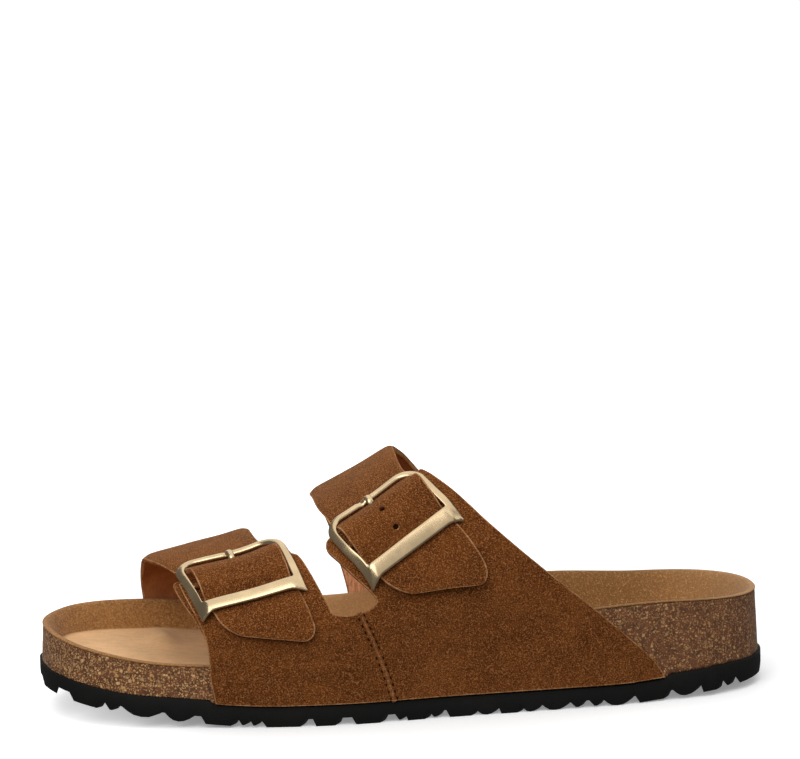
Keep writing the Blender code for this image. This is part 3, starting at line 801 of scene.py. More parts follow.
def insole_finish(colours):
    """Footbed suede: a fuzzy darker wall, with painted shade towards the heel, and a floor worn smooth and
    pale, with faint streaks and specks, and painted light between the straps and at the heel's end.
    """
    finish = Finish("Footbed suede", Specular_IOR_Level=0.15, Sheen_Weight=0.1, Sheen_Roughness=0.6)
    wall = finish.rise(finish.attribute("wall"), 0.0, 1.0)
    lip = finish.rise(finish.attribute("wall"), 1.0, 2.0)
    # Painted light at the heel's end, stronger on the lip
    heel_lit = finish.rise(finish.axis("X"), *HEEL_LIGHT_GROWS) * (lip * 0.1 + 0.2)
    fibre = finish.speckle(0.8, 3.0, 0.65)
    tips = finish.speckle(0.42, 2.0, 0.6)
    patch = finish.speckle(20.0, 3.0, 0.6)
    stretched = finish.node("ShaderNodeMapping", {}, {"Vector": finish.place, "Scale": (0.45, 1.0, 1.0)})
    streak = finish.speckle(2.2, 5.0, 0.85, stretched)
    specks = finish.rise(finish.speckle(0.9, 1.0), 0.69, 0.75)
    dark_wall = shade(colours.wall, 0.5)
    dark_floor = shade(colours.floor, 0.72)
    # Painted shade darkens the wall towards the heel
    heel_shade = finish.rise(finish.axis("X"), *WALL_DARKENS) * 0.13
    fuzz_tone = finish.rise(fibre * 0.8 + patch * 0.3 - heel_shade, 0.36, 0.7)
    fuzz = finish.blend(fuzz_tone, dark_wall, colours.wall)
    fuzz = finish.blend(finish.rise(tips + fibre * 0.3, 0.68, 0.9) * 0.5, fuzz, colours.floor)
    smooth = finish.blend(finish.rise(streak * 0.7 + patch * 0.4, 0.35, 0.75), dark_floor, colours.floor)
    smooth = finish.blend(specks * 0.5, smooth, dark_wall)
    # Floor worn smooth towards the toe
    wear_and_light = 1 - finish.rise(finish.axis("X"), *FLOOR_WORN)
    smooth = finish.blend(wear_and_light * 0.65 + 0.35, fuzz, smooth)
    colour = finish.blend(wall, smooth, fuzz)
    # Painted light between the straps and at the heel's end
    colour = finish.blend(finish.between_straps() * 0.45 + heel_lit, colour, colours.floor)
    relief = finish.bump(fibre * (wall * 0.7 + 0.3), 0.3)
    relief = finish.bump(tips * wall, 0.2, relief)
    return finish.set(Base_Color=colour, Roughness=wall * 0.25 + 0.68, Normal=relief)


def cork_finish(colours):
    """Pressed cork: a brown ground packed with small orange grains, and a few pale larger ones, with painted
    light on the grains towards the toe.
    """
    finish = Finish("Cork", Specular_IOR_Level=0.3, Sheen_Weight=0.2, Sheen_Roughness=0.3,
                    Sheen_Tint=(1.0, 0.84, 0.74, 1.0))
    ground_tone = finish.speckle(3.0, 3.0, 0.6)
    dark = shade(colours.cork, 0.55)
    colour = finish.blend(finish.rise(ground_tone, 0.3, 0.7), dark, colours.cork)
    # Painted light: the grains show stronger towards the toe
    toe = 1 - finish.rise(finish.axis("X"), *CORK_TOE_LIGHT_FADES)
    height = ground_tone * 0.3
    bent = finish.bent(0.8, 0.7)
    for size, left_out, spread in CORK_GRAINS:
        tint = finish.grains(size, "Color", bent)
        core = finish.grains(size, "Distance", bent)
        chosen = finish.rise(finish.channel(tint, "Red"), left_out, left_out + 0.05)
        grain = chosen * (1 - finish.rise(core, GRAIN_EDGE - spread, GRAIN_EDGE))
        grain_colour = finish.blend(finish.channel(tint, "Green"), colours.cork_fleck, colours.cork_pale)
        strength = finish.channel(tint, "Blue") * 0.75 + toe * 0.3
        colour = finish.blend(grain * strength, colour, grain_colour)
        height = height + grain * 0.4
    relief = finish.bump(height, 0.3)
    relief = finish.bump(finish.speckle(0.4), 0.08, relief)
    return finish.set(Base_Color=colour, Roughness=ground_tone * 0.3 + 0.6, Normal=relief)


def foam_finish(colours):
    """Black foam with a fine closed-cell grain, dustier in patches."""
    finish = Finish("Black foam", Specular_IOR_Level=0.2)
    cells = finish.speckle(0.5, 2.0, 0.6)
    dust = finish.speckle(18.0, 4.0, 0.65)
    grey = shade(colours.foam, 2.6)
    colour = finish.blend(finish.rise(dust * 0.7 + cells * 0.3, 0.45, 0.8) * 0.6, colours.foam, grey)
    return finish.set(Base_Color=colour, Roughness=dust * 0.3 + 0.55, Normal=finish.bump(cells, 0.12))


def gold_finish(colours):
    """Pale gold plate, brushed across the buckle, with a few fine scratches and dull patches."""
    finish = Finish("Pale gold", Metallic=1.0)
    sockets = {0: finish.attribute("across"), 1: finish.attribute("length")}
    place = finish.node("ShaderNodeCombineXYZ", {}, sockets)
    brushed_place = finish.node("ShaderNodeMapping", {}, {"Vector": place, "Scale": (0.04, 1.0, 1.0)})
    brushed = finish.speckle(0.18, 2.0, 0.6, brushed_place)
    scratched_place = finish.node("ShaderNodeMapping", {}, {
        "Vector": place, "Scale": (0.05, 1.0, 1.0), "Rotation": (0.0, 0.0, 0.6)})
    scratch = finish.rise(finish.speckle(0.5, 1.0, 0.5, scratched_place), 0.72, 0.76)
    dull = finish.speckle(7.0, 3.0)
    deep = shade(colours.gold, 0.86)
    colour = finish.blend(finish.rise(dull, 0.35, 0.7), deep, colours.gold)
    roughness = brushed * 0.1 + dull * 0.12 + scratch * 0.12 + 0.13
    relief = finish.bump(brushed + scratch * 0.5, 0.007)
    return finish.set(Base_Color=colour, Roughness=roughness, Normal=relief)


def thread_finish(colours):
    finish = Finish("Seam thread", Roughness=0.95, Specular_IOR_Level=0.02)
    twist = finish.speckle(0.3, 2.0)
    light = shade(colours.thread, 2.2)
    colour = finish.blend(finish.rise(twist, 0.4, 0.65), colours.thread, light)
    return finish.set(Base_Color=colour, Normal=finish.bump(twist, 0.1))


def stage_finish(colours):
    finish = Finish("Studio floor", Roughness=0.7, Specular_IOR_Level=0.1)
    finish.shader.inputs["Base Color"].default_value = (*colours.stage, 1.0)
    finish.shader.inputs["Emission Strength"].default_value = 1.0
    away = finish.node("ShaderNodeVectorMath", {"operation": "LENGTH"}, {0: finish.place}, "Value")
    toe, heel = (shade(colours.stage, share) for share in FLOOR_GLOW)
    near = finish.blend(finish.rise(finish.axis("X"), *GLOW_CHANGES), toe, heel)
    return finish.set(Emission_Color=finish.blend(finish.rise(away, *GLOW_REACH), near, colours.stage))


# Making pieces


def finish_piece(name, bm, materials, nodes=()):
    """Turns a bmesh in millimetres into a piece in metres that rides with the shoe."""
    bmesh.ops.translate(bm, vec=(0.0, CENTRE_SHIFT, 0.0), verts=bm.verts)
    bmesh.ops.scale(bm, vec=(MM, MM, MM), verts=bm.verts)
    mesh = bpy.data.meshes.new(name)
    bm.to_mesh(mesh)
    bm.free()
    for material in materials:
        mesh.materials.append(material)
    mesh.shade_smooth()
    piece = bpy.data.objects.new(name, mesh)
    bpy.context.scene.collection.objects.link(piece)
    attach(piece, BODY)
    if nodes:
        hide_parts(*nodes)
    return piece


def formed_grid(bm, columns, rows, place):
    """A grid of cells whose vertices place() moves, from their shares of the columns and rows."""
    made = bmesh.ops.create_grid(bm, x_segments=columns, y_segments=rows, size=0.5)
    for vertex in made["verts"]:
        vertex.co = place(vertex.co.x + 0.5, vertex.co.y + 0.5)
    return made["verts"]


def close_seams(bm):
    bmesh.ops.remove_doubles(bm, verts=bm.verts, dist=WELD)
    bmesh.ops.dissolve_degenerate(bm, edges=bm.edges, dist=WELD)
    bmesh.ops.recalc_face_normals(bm, faces=bm.faces)


def feather(bm, width):
    """Draws in the cells along a sheet's border to a narrow strip of raw edge."""
    moves = {}
    for vertex in (vertex for vertex in bm.verts if vertex.is_boundary):
        ends = [edge.other_vert(vertex).co for edge in vertex.link_edges if edge.is_boundary]
        along_border = (ends[1] - ends[0]).normalized()
        for edge in vertex.link_edges:
            inner = edge.other_vert(vertex)
            if not inner.is_boundary:
                arm = vertex.co - inner.co
                away = (arm - arm.dot(along_border) * along_border).length
                moves.setdefault(inner, []).append(arm * max(1 - width / away, 0.0))
    for inner, arms in moves.items():
        inner.co += sum(arms, Vector()) / len(arms)
    for face in bm.faces:
        if any(edge.is_boundary for edge in face.edges):
            face.material_index = RAW_EDGE


def thicken(piece, thickness, edge):
    """Gives a sheet its thickness inwards and rounds its cut edges."""
    wall = piece.modifiers.new("Thickness", "SOLIDIFY")
    wall.thickness = thickness
    wall.offset = -1.0
    wall.material_offset = 1
    wall.material_offset_rim = RAW_EDGE
    round_edges(piece, edge)


def round_edges(piece, width, angle=EDGE_ANGLE):
    bevel = piece.modifiers.new("Rounded edges", "BEVEL")
    bevel.width = width
    bevel.segments = 2
    bevel.profile = 0.5
    bevel.limit_method = "ANGLE"
    bevel.angle_limit = math.radians(angle)
    bevel.use_clamp_overlap = True
    bevel.harden_normals = False


def face_outwards(bm, outside):
    """Turns a sheet's faces towards the side where a point lies."""
    bmesh.ops.recalc_face_normals(bm, faces=bm.faces)
    bm.faces.ensure_lookup_table()
    face = bm.faces[0]
    if face.normal.dot(outside - face.calc_center_median()) < 0:
        bmesh.ops.reverse_faces(bm, faces=bm.faces)


# Outsole


def tread_profile():
    """Stations along the tread with the share of its depth that is cut there."""
    rows = [(END_TRIM, 1.0)]
    for first, length, form in LUGS:
        rows += [(first + share * length, cut) for share, cut in LUG_FORMS[form]]
    rows.append((LENGTH - END_TRIM, 1.0))
    return rows


def tread_stations(profile):
    """The profile's stations, those of the steps, and closer ones where the outline turns at the ends."""
    stations = {row[0] for row in profile}
    for start, run in [(at, -STEP_RUN) for at in STEP_TOE] + [(at, STEP_RUN) for at in STEP_HEEL]:
        stations |= {start + share * run for share in STEP_ROWS}
    for i in range(1, END_ROWS):
        share = (i / END_ROWS) ** 2
        for station in (share * TOE_ROUND, LENGTH - share * HEEL_ROUND):
            if min(abs(station - other) for other in stations) > END_SPACING + share:
                stations.add(station)
    return sorted(stations)


def build_outsole(materials):
    profile = tread_profile()
    stations = tread_stations(profile)
    rows = len(stations) - 1
    channels = {round(share * TREAD_COLUMNS) for share in TREAD_CHANNELS}

    def sole_point(station, across):
        left = plan_point(station, OUTER, SOLE_PROUD)
        right = plan_point(station, INNER, SOLE_PROUD)
        wave = TREAD_WAVE * math.sin(2 * math.pi * TREAD_WAVES * across) * rounding(station)
        x = left[0] + wave * smooth_step(0.0, TREAD_WAVE_GROWS, min(station, LENGTH - station))
        return x, mix(left[1], right[1], across)

    def tread_point(row_share, across):
        station = stations[round(row_share * rows)]
        x, y = sole_point(station, across)
        column = round(across * TREAD_COLUMNS)
        cut = max(straight(profile, 1, station), 1.0 if column in channels else 0.0)
        return x, y, ground(x + LENGTH / 2) + cut * LUG_DEPTH

    bm = bmesh.new()
    formed_grid(bm, rows, TREAD_COLUMNS, tread_point)
    made = bmesh.ops.extrude_face_region(bm, geom=bm.faces[:], use_keep_orig=True)
    for vertex in (item for item in made["geom"] if isinstance(item, bmesh.types.BMVert)):
        vertex.co.z = sole_top(vertex.co.x, vertex.co.y)
    close_seams(bm)
    piece = finish_piece("sole_foam", bm, materials, ["outsole"])
    round_edges(piece, FOAM_EDGE * MM, FOAM_ANGLE)


# Cork footbed and suede insole


def wall_from(station):
    """Share of the way out where the dish's wall starts, farther out at the toe."""
    return mix(*WALL_FROM, smooth_step(*WALL_CHANGES, station))


def wall_rise(share, station):
    """Rise of the dish's wall, with a sharper foot towards the toe."""
    foot = wall_from(station)
    t = clamp((share - foot) / (1 - foot))
    soft = smooth_step(0.0, 1.0, t)
    sharp = t * (2 - t)
    return mix(soft, sharp, WALL_SHARP * (1 - smooth_step(*SHARP_FADES, station)))


def dish_point(turn, share, drop):
    station, side = walk(turn)
    x, y = inward(station, side, -RIM_WIDE, share)
    floor = dish_height(x + LENGTH / 2, y)
    return x, y, mix(floor, rim(station, side), wall_rise(share, station)) - drop


def rim_point(turn, proud, drop):
    station, side = walk(turn)
    x, y = plan_point(station, side, proud)
    return x, y, rim(station, side) - drop


def build_insole(sizes, materials):
    rows = FLOOR_ROWS + WALL_ROWS + LIP_ROWS
    bm = bmesh.new()
    wall = bm.verts.layers.float.new("wall")

    def insole_point(turn, row_share):
        row = round(row_share * rows)
        foot = wall_from(walk(turn)[0])
        if row <= FLOOR_ROWS:
            return dish_point(turn, foot * row / FLOOR_ROWS, 0.0)
        if row <= FLOOR_ROWS + WALL_ROWS:
            return dish_point(turn, mix(foot, 1.0, (row - FLOOR_ROWS) / WALL_ROWS), 0.0)
        roll = (row - FLOOR_ROWS - WALL_ROWS) / LIP_ROWS
        angle = min(roll / LIP_TURNED, 1.0) * math.pi / 2
        down = max(roll - LIP_TURNED, 0.0) / (1 - LIP_TURNED)
        proud = LIP_PROUD - RIM_ROUND * (1 - math.sin(angle))
        return rim_point(turn, proud, RIM_ROUND * (1 - math.cos(angle)) + (LIP_DROP - RIM_ROUND) * down)

    made = bmesh.ops.create_grid(bm, x_segments=AROUND, y_segments=rows, size=0.5)
    for vertex in made["verts"]:
        turn, row_share = vertex.co.x + 0.5, vertex.co.y + 0.5
        row = row_share * rows
        lip = smooth_step(FLOOR_ROWS + WALL_ROWS - LIP_BLEND, FLOOR_ROWS + WALL_ROWS, row)
        vertex[wall] = smooth_step(FLOOR_ROWS - WALL_BLEND[0], FLOOR_ROWS + WALL_BLEND[1], row) + lip
        vertex.co = insole_point(turn, row_share)
    bmesh.ops.remove_doubles(bm, verts=bm.verts, dist=WELD)
    face_outwards(bm, ABOVE)
    piece = finish_piece("footbed_suede", bm, materials, ["insole"])
    thicken(piece, sizes.insole, INSOLE_EDGE * MM)


def build_footbed(sizes, materials):
    drop = sizes.insole / MM + CORK_GAP
    rows = DISH_ROWS + CORK_ROWS + BASE_ROWS

    def cork_point(turn, row_share):
        row = round(row_share * rows)
        station, side = walk(turn)
        if row < DISH_ROWS:
            return dish_point(turn, row / (DISH_ROWS - 1), drop)
        if row > DISH_ROWS + CORK_ROWS:
            share = (rows - row) / BASE_ROWS
            x, y = inward(station, side, WALL_FLARE, share)
            return x, y, sole_top(x, y) + GAP / 2
        share = (row - DISH_ROWS) / CORK_ROWS
        x, y = plan_point(station, side, WALL_FLARE * share)
        top = rim(station, side) - LIP_DROP - CORK_GAP
        z = mix(top, sole_top(x, y) + GAP / 2, share)
        grain = noise.noise(Vector((x, y, z)) / CORK_PIT) * CORK_GRAIN
        outwards = Vector((x - mix(*SPINE_ENDS, station / LENGTH) + LENGTH / 2, y, 0.0)).normalized()
        return Vector((x, y, z)) + outwards * grain

    bm = bmesh.new()
    formed_grid(bm, AROUND, rows, cork_point)
    close_seams(bm)
    finish_piece("footbed_cork", bm, materials, ["footbed"])


# Suede upper


def between_edges(edges, tab, share, lap):
    """Station of a column between the edges that a table gives for its tab or for the gap."""
    first, last = TAB_EDGES[tab]
    return mix(along(edges, first, lap), along(edges, last, lap), share)


def panel_sheet(grid, place):
    """A sheet with two tabs and a notch between them, whose vertices place() moves.

    place takes the column's tab and share across it, the row's share of the panel and its share of the tab.
    """
    counts = grid["columns"]
    columns = sum(counts.values())
    rows = grid["panel_rows"] + grid["tab_rows"]
    gap_from = counts["front"]
    gap_to = gap_from + counts["gap"]
    bm = bmesh.new()
    wear_and_highlight = bm.verts.layers.float.new("wear_and_highlight")
    made = bmesh.ops.create_grid(bm, x_segments=columns, y_segments=rows, size=0.5)
    cut = []
    for face in bm.faces:
        centre = face.calc_center_median()
        column, row = (centre.x + 0.5) * columns, (centre.y + 0.5) * rows
        if gap_from < column < gap_to and row > grid["panel_rows"]:
            cut.append(face)
    bmesh.ops.delete(bm, geom=cut, context="FACES")
    for vertex in (v for v in made["verts"] if v.is_valid):
        column, row = round((vertex.co.x + 0.5) * columns), round((vertex.co.y + 0.5) * rows)
        if column <= gap_from:
            tab, share = "front", column / gap_from
        elif column < gap_to:
            tab, share = "gap", (column - gap_from) / counts["gap"]
            vertex[wear_and_highlight] = grid["wear_and_highlight"] * hump(share - 0.5, SEAM_WEAR_HIGHLIGHT_SHARE)
        else:
            tab, share = "rear", (column - gap_to) / counts["rear"]
        on_panel = min(row / grid["panel_rows"], 1.0)
        on_tab = max(row - grid["panel_rows"], 0) / grid["tab_rows"]
        vertex.co = place(tab, share, on_panel, on_tab)
    return bm


def swell(point):
    """Slow unevenness of soft suede."""
    return noise.noise(Vector(point) / NAP_SWELL_SIZE) * NAP_SWELL


def crease_depth(station, lap):
    depth = 0.0
    for at, at_lap, deep, reach, spread, slant in CREASES:
        shift = station - at
        depth += deep * hump(shift, reach) * hump(lap - at_lap - shift * slant, spread)
    return depth


def seam_lift(station, lap):
    """The seam's beaded ridge and the furrow on each side of it, up to the notch."""
    away = station - straight(SEAM, 1, lap)
    ridge = SEAM_RIDGE * (1 + SEAM_BEAD * math.cos(2 * math.pi * lap / SEAM_BEAD_LAP))
    lift = ridge * hump(away, SEAM_HALF) - SEAM_FURROW * hump(abs(away) - STITCH_ROW, FURROW_HALF)
    return lift * (1 - smooth_step(*SEAM_FADES, lap))


def tab_top(tab, share):
    """Lap of a tab's top: low under the strap, with rounded corners that rise beside the buckle."""
    top, *corners = TAB_TOPS[tab]
    rise, drop = corners[0 if share < 0.5 else 1]
    buckle = BUCKLES[tab]
    lean = buckle["tilt"] * (share - 0.5) * WINDOW_HALF * 2 / buckle["arc"]
    aside = abs(2 * share - 1)
    turn = clamp((aside - TAB_CORNER_FROM) / (1 - TAB_CORNER_FROM))
    return top + lean + rise * aside ** CORNER_POWER - drop * (1 - math.sqrt(1 - turn ** 2))


def outer_panel_point(sizes, tab, share, on_panel, on_tab):
    grid = OUTER_GRID
    notch, end = grid["notch_side"], grid["notch_side"]
    spread = signed_power(2 * share - 1, SEAM_FINE)
    if tab == "gap":
        notch = mix(grid["notch"], notch, abs(spread) ** NOTCH_POWER)
    else:
        end = tab_top(tab, share)
    lap = mix(mix(grid["foot"], notch, on_panel), end, on_tab)
    if tab == "gap":
        middle = straight(SEAM, 1, lap)
        edge = along(OUTER_EDGES, TAB_EDGES["gap"][0 if spread < 0 else 1], lap)
        station = mix(middle, edge, abs(spread))
    else:
        station = between_edges(OUTER_EDGES, tab, share, lap)
    lift = GAP + sizes.suede / MM + seam_lift(station, lap) - crease_depth(station, lap)
    point = over_last(station, lap, lift)
    return over_last(station, lap, lift + swell(point))


def strap_row(tab, share, on_tab):
    """Lap of a strap's row and half its width: even rows, then closer ones round the free end."""
    even = 1 - STRAP_END_ROWS / INNER_GRID["tab_rows"]
    half = STRAP_HALF[tab]
    turn = STRAP_END_ROUND / BUCKLES[tab]["arc"]
    if on_tab <= even:
        return mix(INNER_GRID["notch_side"], mix(*STRAP_ENDS[tab], share) + turn, on_tab / even), half
    part = (on_tab - even) / (1 - even)
    part = mix(part, math.sin(part * math.pi / 2), STRAP_END_EASE)
    narrow = half - STRAP_END_ROUND * (1 - math.sqrt(1 - part ** 2))
    return mix(*STRAP_ENDS[tab], 0.5 + (share - 0.5) * narrow / half) + turn * (1 - part), narrow


def strap_station(tab, share, lap, half):
    """Station of a strap's column: its own edges over the foot, and a straight strip through the buckle."""
    wide = between_edges(INNER_EDGES, tab, share, lap)
    if lap > 2:
        return wide
    buckle = BUCKLES[tab]
    across = (2 * share - 1) * half
    length = (lap - buckle["lap"]) * buckle["arc"] - buckle["tilt"] * across
    across += along(SWAY[tab], STRAP_SWAY, length)
    narrow = buckle["station"] + buckle["scale"] * across + buckle["lean"] * length
    return mix(narrow, wide, smooth_step(*BUCKLE_ENTRY[tab], length))


def inner_panel_point(sizes, tab, share, on_panel, on_tab):
    grid = INNER_GRID
    notch = grid["notch_side"]
    if tab == "gap":
        notch = mix(grid["notch"], notch, abs(2 * share - 1) ** NOTCH_POWER)
    lap, half = mix(grid["foot"], notch, on_panel), 0.0
    if on_tab:
        lap, half = strap_row(tab, share, on_tab)
    lift = GAP + sizes.suede / MM
    if tab == "gap":
        station = between_edges(INNER_EDGES, tab, share, lap)
    else:
        station = strap_station(tab, share, lap, half)
        over_foot = smooth_step(*ROLL_GROWS, lap) * (1 - smooth_step(*ROLL_FADES, lap))
        lift -= over_foot * STRAP_ROLL * abs(2 * share - 1) ** STRAP_ROLL_POWER
        if lap < 2:
            length = on_buckle(BUCKLES[tab], station, lap)[1]
            crown = (1 - (2 * share - 1) ** 2) * (1 - smooth_step(*CROWN_FADES, length))
            crown *= smooth_step(*CROWN_GROWS, length)
            lift += strap_rise(BUCKLES[tab], length) - GAP + STRAP_CROWN * crown
    return over_last(station, lap, lift + swell(over_last(station, lap, lift)))


def strap_rise(buckle, length):
    """Lift of the strap's underside, drawn in to where the buckle's keeper and end bar lie."""
    if length > 0:
        return along(STRAP_RISE, 1, length * BAR_HALF / buckle["end"])
    shift = (buckle["keeper"] + BAR_HALF) * clamp(-length / BAR_HALF)
    return along(STRAP_RISE, 1, length - shift)


def punch(bm, centre, radius):
    """Opens a round hole in a sheet: the cells inside go and their border is drawn to a circle."""
    inside = [face for face in bm.faces if (face.calc_center_median() - centre).length < radius]
    bmesh.ops.delete(bm, geom=inside, context="FACES")
    for vertex in bm.verts:
        arm = vertex.co - centre
        if vertex.is_boundary and arm.length < HOLE_REACH * radius:
            vertex.co = centre + arm.normalized() * radius


def build_outer_panel(sizes, materials):
    bm = panel_sheet(OUTER_GRID, lambda *place: outer_panel_point(sizes, *place))
    face_outwards(bm, OUTSIDE)
    feather(bm, PANEL_FEATHER)
    piece = finish_piece("upper_outer", bm, materials, ["upper"])
    thicken(piece, sizes.suede, sizes.raw_edge)


def build_inner_panel(sizes, materials):
    bm = panel_sheet(INNER_GRID, lambda *place: inner_panel_point(sizes, *place))
    face_outwards(bm, INSIDE)
    feather(bm, STRAP_FEATHER)
    for tab, holes in STRAP_HOLES.items():
        for across, length in holes:
            lift = strap_rise(BUCKLES[tab], length) + sizes.suede / MM + STRAP_CROWN
            punch(bm, at_buckle(BUCKLES[tab], across, length, lift), sizes.hole / MM)
    piece = finish_piece("upper_inner", bm, materials, ["upper"])
    thicken(piece, sizes.suede, sizes.raw_edge)


def build_fold(sizes, materials):
    """The inner layer of the front tab, where its suede is folded back round the buckle's centre bar."""
    def fold_point(share, row_share):
        lap = mix(*FOLD_LAPS, row_share)
        station = between_edges(OUTER_EDGES, "front", share, lap)
        turn = clamp((row_share - FOLD_ROUND) / (1 - FOLD_ROUND))
        shown = smooth_step(0.0, FOLD_SHOWN_BY, row_share) + math.sqrt(1 - turn ** 2) - 1
        return over_last(station - FOLD_SHOWS * shown * (1 - share), lap, GAP / 2)

    bm = bmesh.new()
    formed_grid(bm, *FOLD_GRID, fold_point)
    face_outwards(bm, OUTSIDE)
    feather(bm, PANEL_FEATHER)
    piece = finish_piece("tab_fold", bm, materials)
    thicken(piece, sizes.suede * FOLD_THIN, sizes.raw_edge)


def build_stitches(sizes, materials):
    """Two rows of short stitches beside the seam's ridge."""
    bm = bmesh.new()
    pitch = sizes.stitch / MM
    thread = sizes.thread / MM
    for row in (-STITCH_ROW, STITCH_ROW):
        lap = STITCH_LAPS[0]
        while lap < STITCH_LAPS[1]:
            lift = GAP + sizes.suede / MM - SEAM_FURROW * STITCH_SUNK
            here = over_last(straight(SEAM, 1, lap) + row, lap, lift)
            next_lap = lap + STITCH_STEP
            ahead = over_last(straight(SEAM, 1, next_lap) + row, next_lap, lift)
            turn = (ahead - here).to_track_quat("Z", "Y").to_matrix().to_4x4()
            size = Matrix.Diagonal((thread, thread, thread * STITCH_LONG, 1.0))
            bmesh.ops.create_uvsphere(bm, u_segments=STITCH_SIDES, v_segments=STITCH_RINGS, radius=1.0,
                                      matrix=Matrix.Translation(here) @ turn @ size)
            lap += pitch * STITCH_STEP / (ahead - here).length
    finish_piece("seam_stitches", bm, materials)


# Buckles


def frame_half(share, half, low, high, low_round, high_round):
    """A point on half a rounded frame, from the middle of its low edge to the middle of its high edge."""
    if share <= KEEPER_ENDS:
        return (half - low_round) * share / KEEPER_ENDS, low
    if share <= FOOT_ENDS:
        angle = (share - KEEPER_ENDS) / (FOOT_ENDS - KEEPER_ENDS) * math.pi / 2
        return half - low_round * (1 - math.sin(angle)), low + low_round * (1 - math.cos(angle))
    if share <= SIDE_ENDS:
        t = (share - FOOT_ENDS) / (SIDE_ENDS - FOOT_ENDS)
        return half, mix(low + low_round, high - high_round, t)
    if share <= CORNER_ENDS:
        angle = (share - SIDE_ENDS) / (CORNER_ENDS - SIDE_ENDS) * math.pi / 2
        return half - high_round * (1 - math.cos(angle)), high - high_round * (1 - math.sin(angle))
    return (half - high_round) * (1 - (share - CORNER_ENDS) / (1 - CORNER_ENDS)), high


def frame_section(buckle, side, share, angle):
    """Distances across and along the buckle and lift of a point on its frame's skin."""
    wide_keeper = buckle["wide"]
    outer_low = buckle["keeper"] - wide_keeper / 2
    inner_low = outer_low + wide_keeper
    outer_end, inner_end = buckle["end"] + END_BAR / 2, buckle["end"] - END_BAR / 2
    outer = Vector(frame_half(share, FRAME_HALF, outer_low, outer_end, FOOT_ROUND, CORNER_ROUND))
    inner = Vector(frame_half(share, WINDOW_HALF, inner_low, inner_end, FOOT_ROUND, WINDOW_ROUND))
    reach = clamp((outer.x / FRAME_HALF - FOOT_FROM) / (1 - FOOT_FROM))
    drop = buckle["feet"][0 if side < 0 else 1]
    outer.y -= drop * reach ** FOOT_POWER * clamp(1 - (outer.y - outer_low) / wide_keeper)
    power = mix(KEEPER_POWER, SIDE_POWER, smooth_step(KEEPER_ENDS, SIDE_ENDS, share))
    power = mix(power, END_POWER, smooth_step(SIDE_ENDS, CORNER_ENDS, share))
    wide = signed_power(math.cos(angle), 2 / power)
    tall = signed_power(math.sin(angle), 2 / power)
    flat = outer.lerp(inner, 0.5 - 0.5 * wide)
    keeper = 1 - smooth_step(KEEPER_ENDS, SIDE_ENDS, share)
    arch = keeper * (1 - smooth_step(KEEPER_FALLS, 1.0, flat.x / FRAME_HALF))
    low = mix(FRAME_LOW, KEEPER_LOW, arch)
    thick = mix(FRAME_THICK, KEEPER_THICK, keeper)
    if share > CORNER_ENDS:
        thick -= SEAT_DEPTH * hump(side * flat.x - buckle["prong"], SEAT_HALF) ** 2
    on_side = smooth_step(KEEPER_ENDS, SIDE_FULL, share) * (1 - smooth_step(SIDE_ENDS, CORNER_ENDS, share))
    on_end = smooth_step(SIDE_ENDS, CORNER_ENDS, share)
    fall = SIDE_FALLS[0 if side < 0 else 1]
    thick *= 1 - fall * on_side * (0.5 + 0.5 * wide) - END_FALL * on_end * (0.5 - 0.5 * wide)
    bow = buckle["bow"] * max(1 - (flat.x / WINDOW_HALF) ** 2, 0.0)
    shift = keeper * (bow + buckle["slant"] * side * flat.x)
    return side * flat.x, flat.y + shift, low + thick * (0.5 + 0.5 * tall)


def swayed(tab, point):
    """A point in a frame's own distances, moved with the frame's sway."""
    across, length, lift = point
    across *= 1 - BUCKLES[tab]["taper"] * length
    return Vector((across + along(SWAY[tab], FRAME_SWAY, length), length, lift))


def formed_rod(bm, tab, layers, steps, sides, path, section):
    """A rod in buckle distances: path() gives its centre, section() its half width and height."""
    made = bmesh.ops.create_grid(bm, x_segments=steps, y_segments=sides, size=0.5)
    for vertex in made["verts"]:
        share, angle = vertex.co.x + 0.5, 2 * math.pi * (vertex.co.y + 0.5)
        centre, ahead = path(share), path(share + ROD_STEP) - path(share - ROD_STEP)
        sideways = ahead.cross(Vector((0.0, 0.0, 1.0))).normalized()
        upright = sideways.cross(ahead).normalized()
        wide, tall = section(share)
        point = centre + wide * math.cos(angle) * sideways + tall * math.sin(angle) * upright
        set_on_buckle(vertex, tab, layers, point)


def set_on_buckle(vertex, tab, layers, point):
    across, length = layers
    vertex[across] = point[0] * MM
    vertex[length] = point[1] * MM
    vertex.co = at_buckle(BUCKLES[tab], *point)


def buckle_mesh():
    bm = bmesh.new()
    return bm, (bm.verts.layers.float.new("across"), bm.verts.layers.float.new("length"))


def round_end(share, ends):
    """Share of a rod's half width that is left where its last stretch closes to a rounded tip."""
    part = clamp((share - ends) / (1 - ends))
    return math.sqrt(max(1 - part ** 2, 0.0))


def bar_path(tab, half):
    """The centre bar's middle line, as long as twice the given half."""
    return lambda share: swayed(tab, (mix(-half, half, share), 0.0, CENTRE_LIFT))


def build_sleeves(materials):
    """The suede of each tab where it goes round its buckle's centre bar."""
    for tab in BUCKLES:
        bm, layers = buckle_mesh()
        formed_rod(bm, tab, layers, SLEEVE_STEPS, SLEEVE_SIDES, bar_path(tab, WINDOW_HALF - SLEEVE_SHORT),
                   lambda share: (SLEEVE_RADIUS, SLEEVE_RADIUS))
        bmesh.ops.holes_fill(bm, edges=bm.edges, sides=0)
        close_seams(bm)
        finish_piece("tab_sleeve_" + tab, bm, materials)


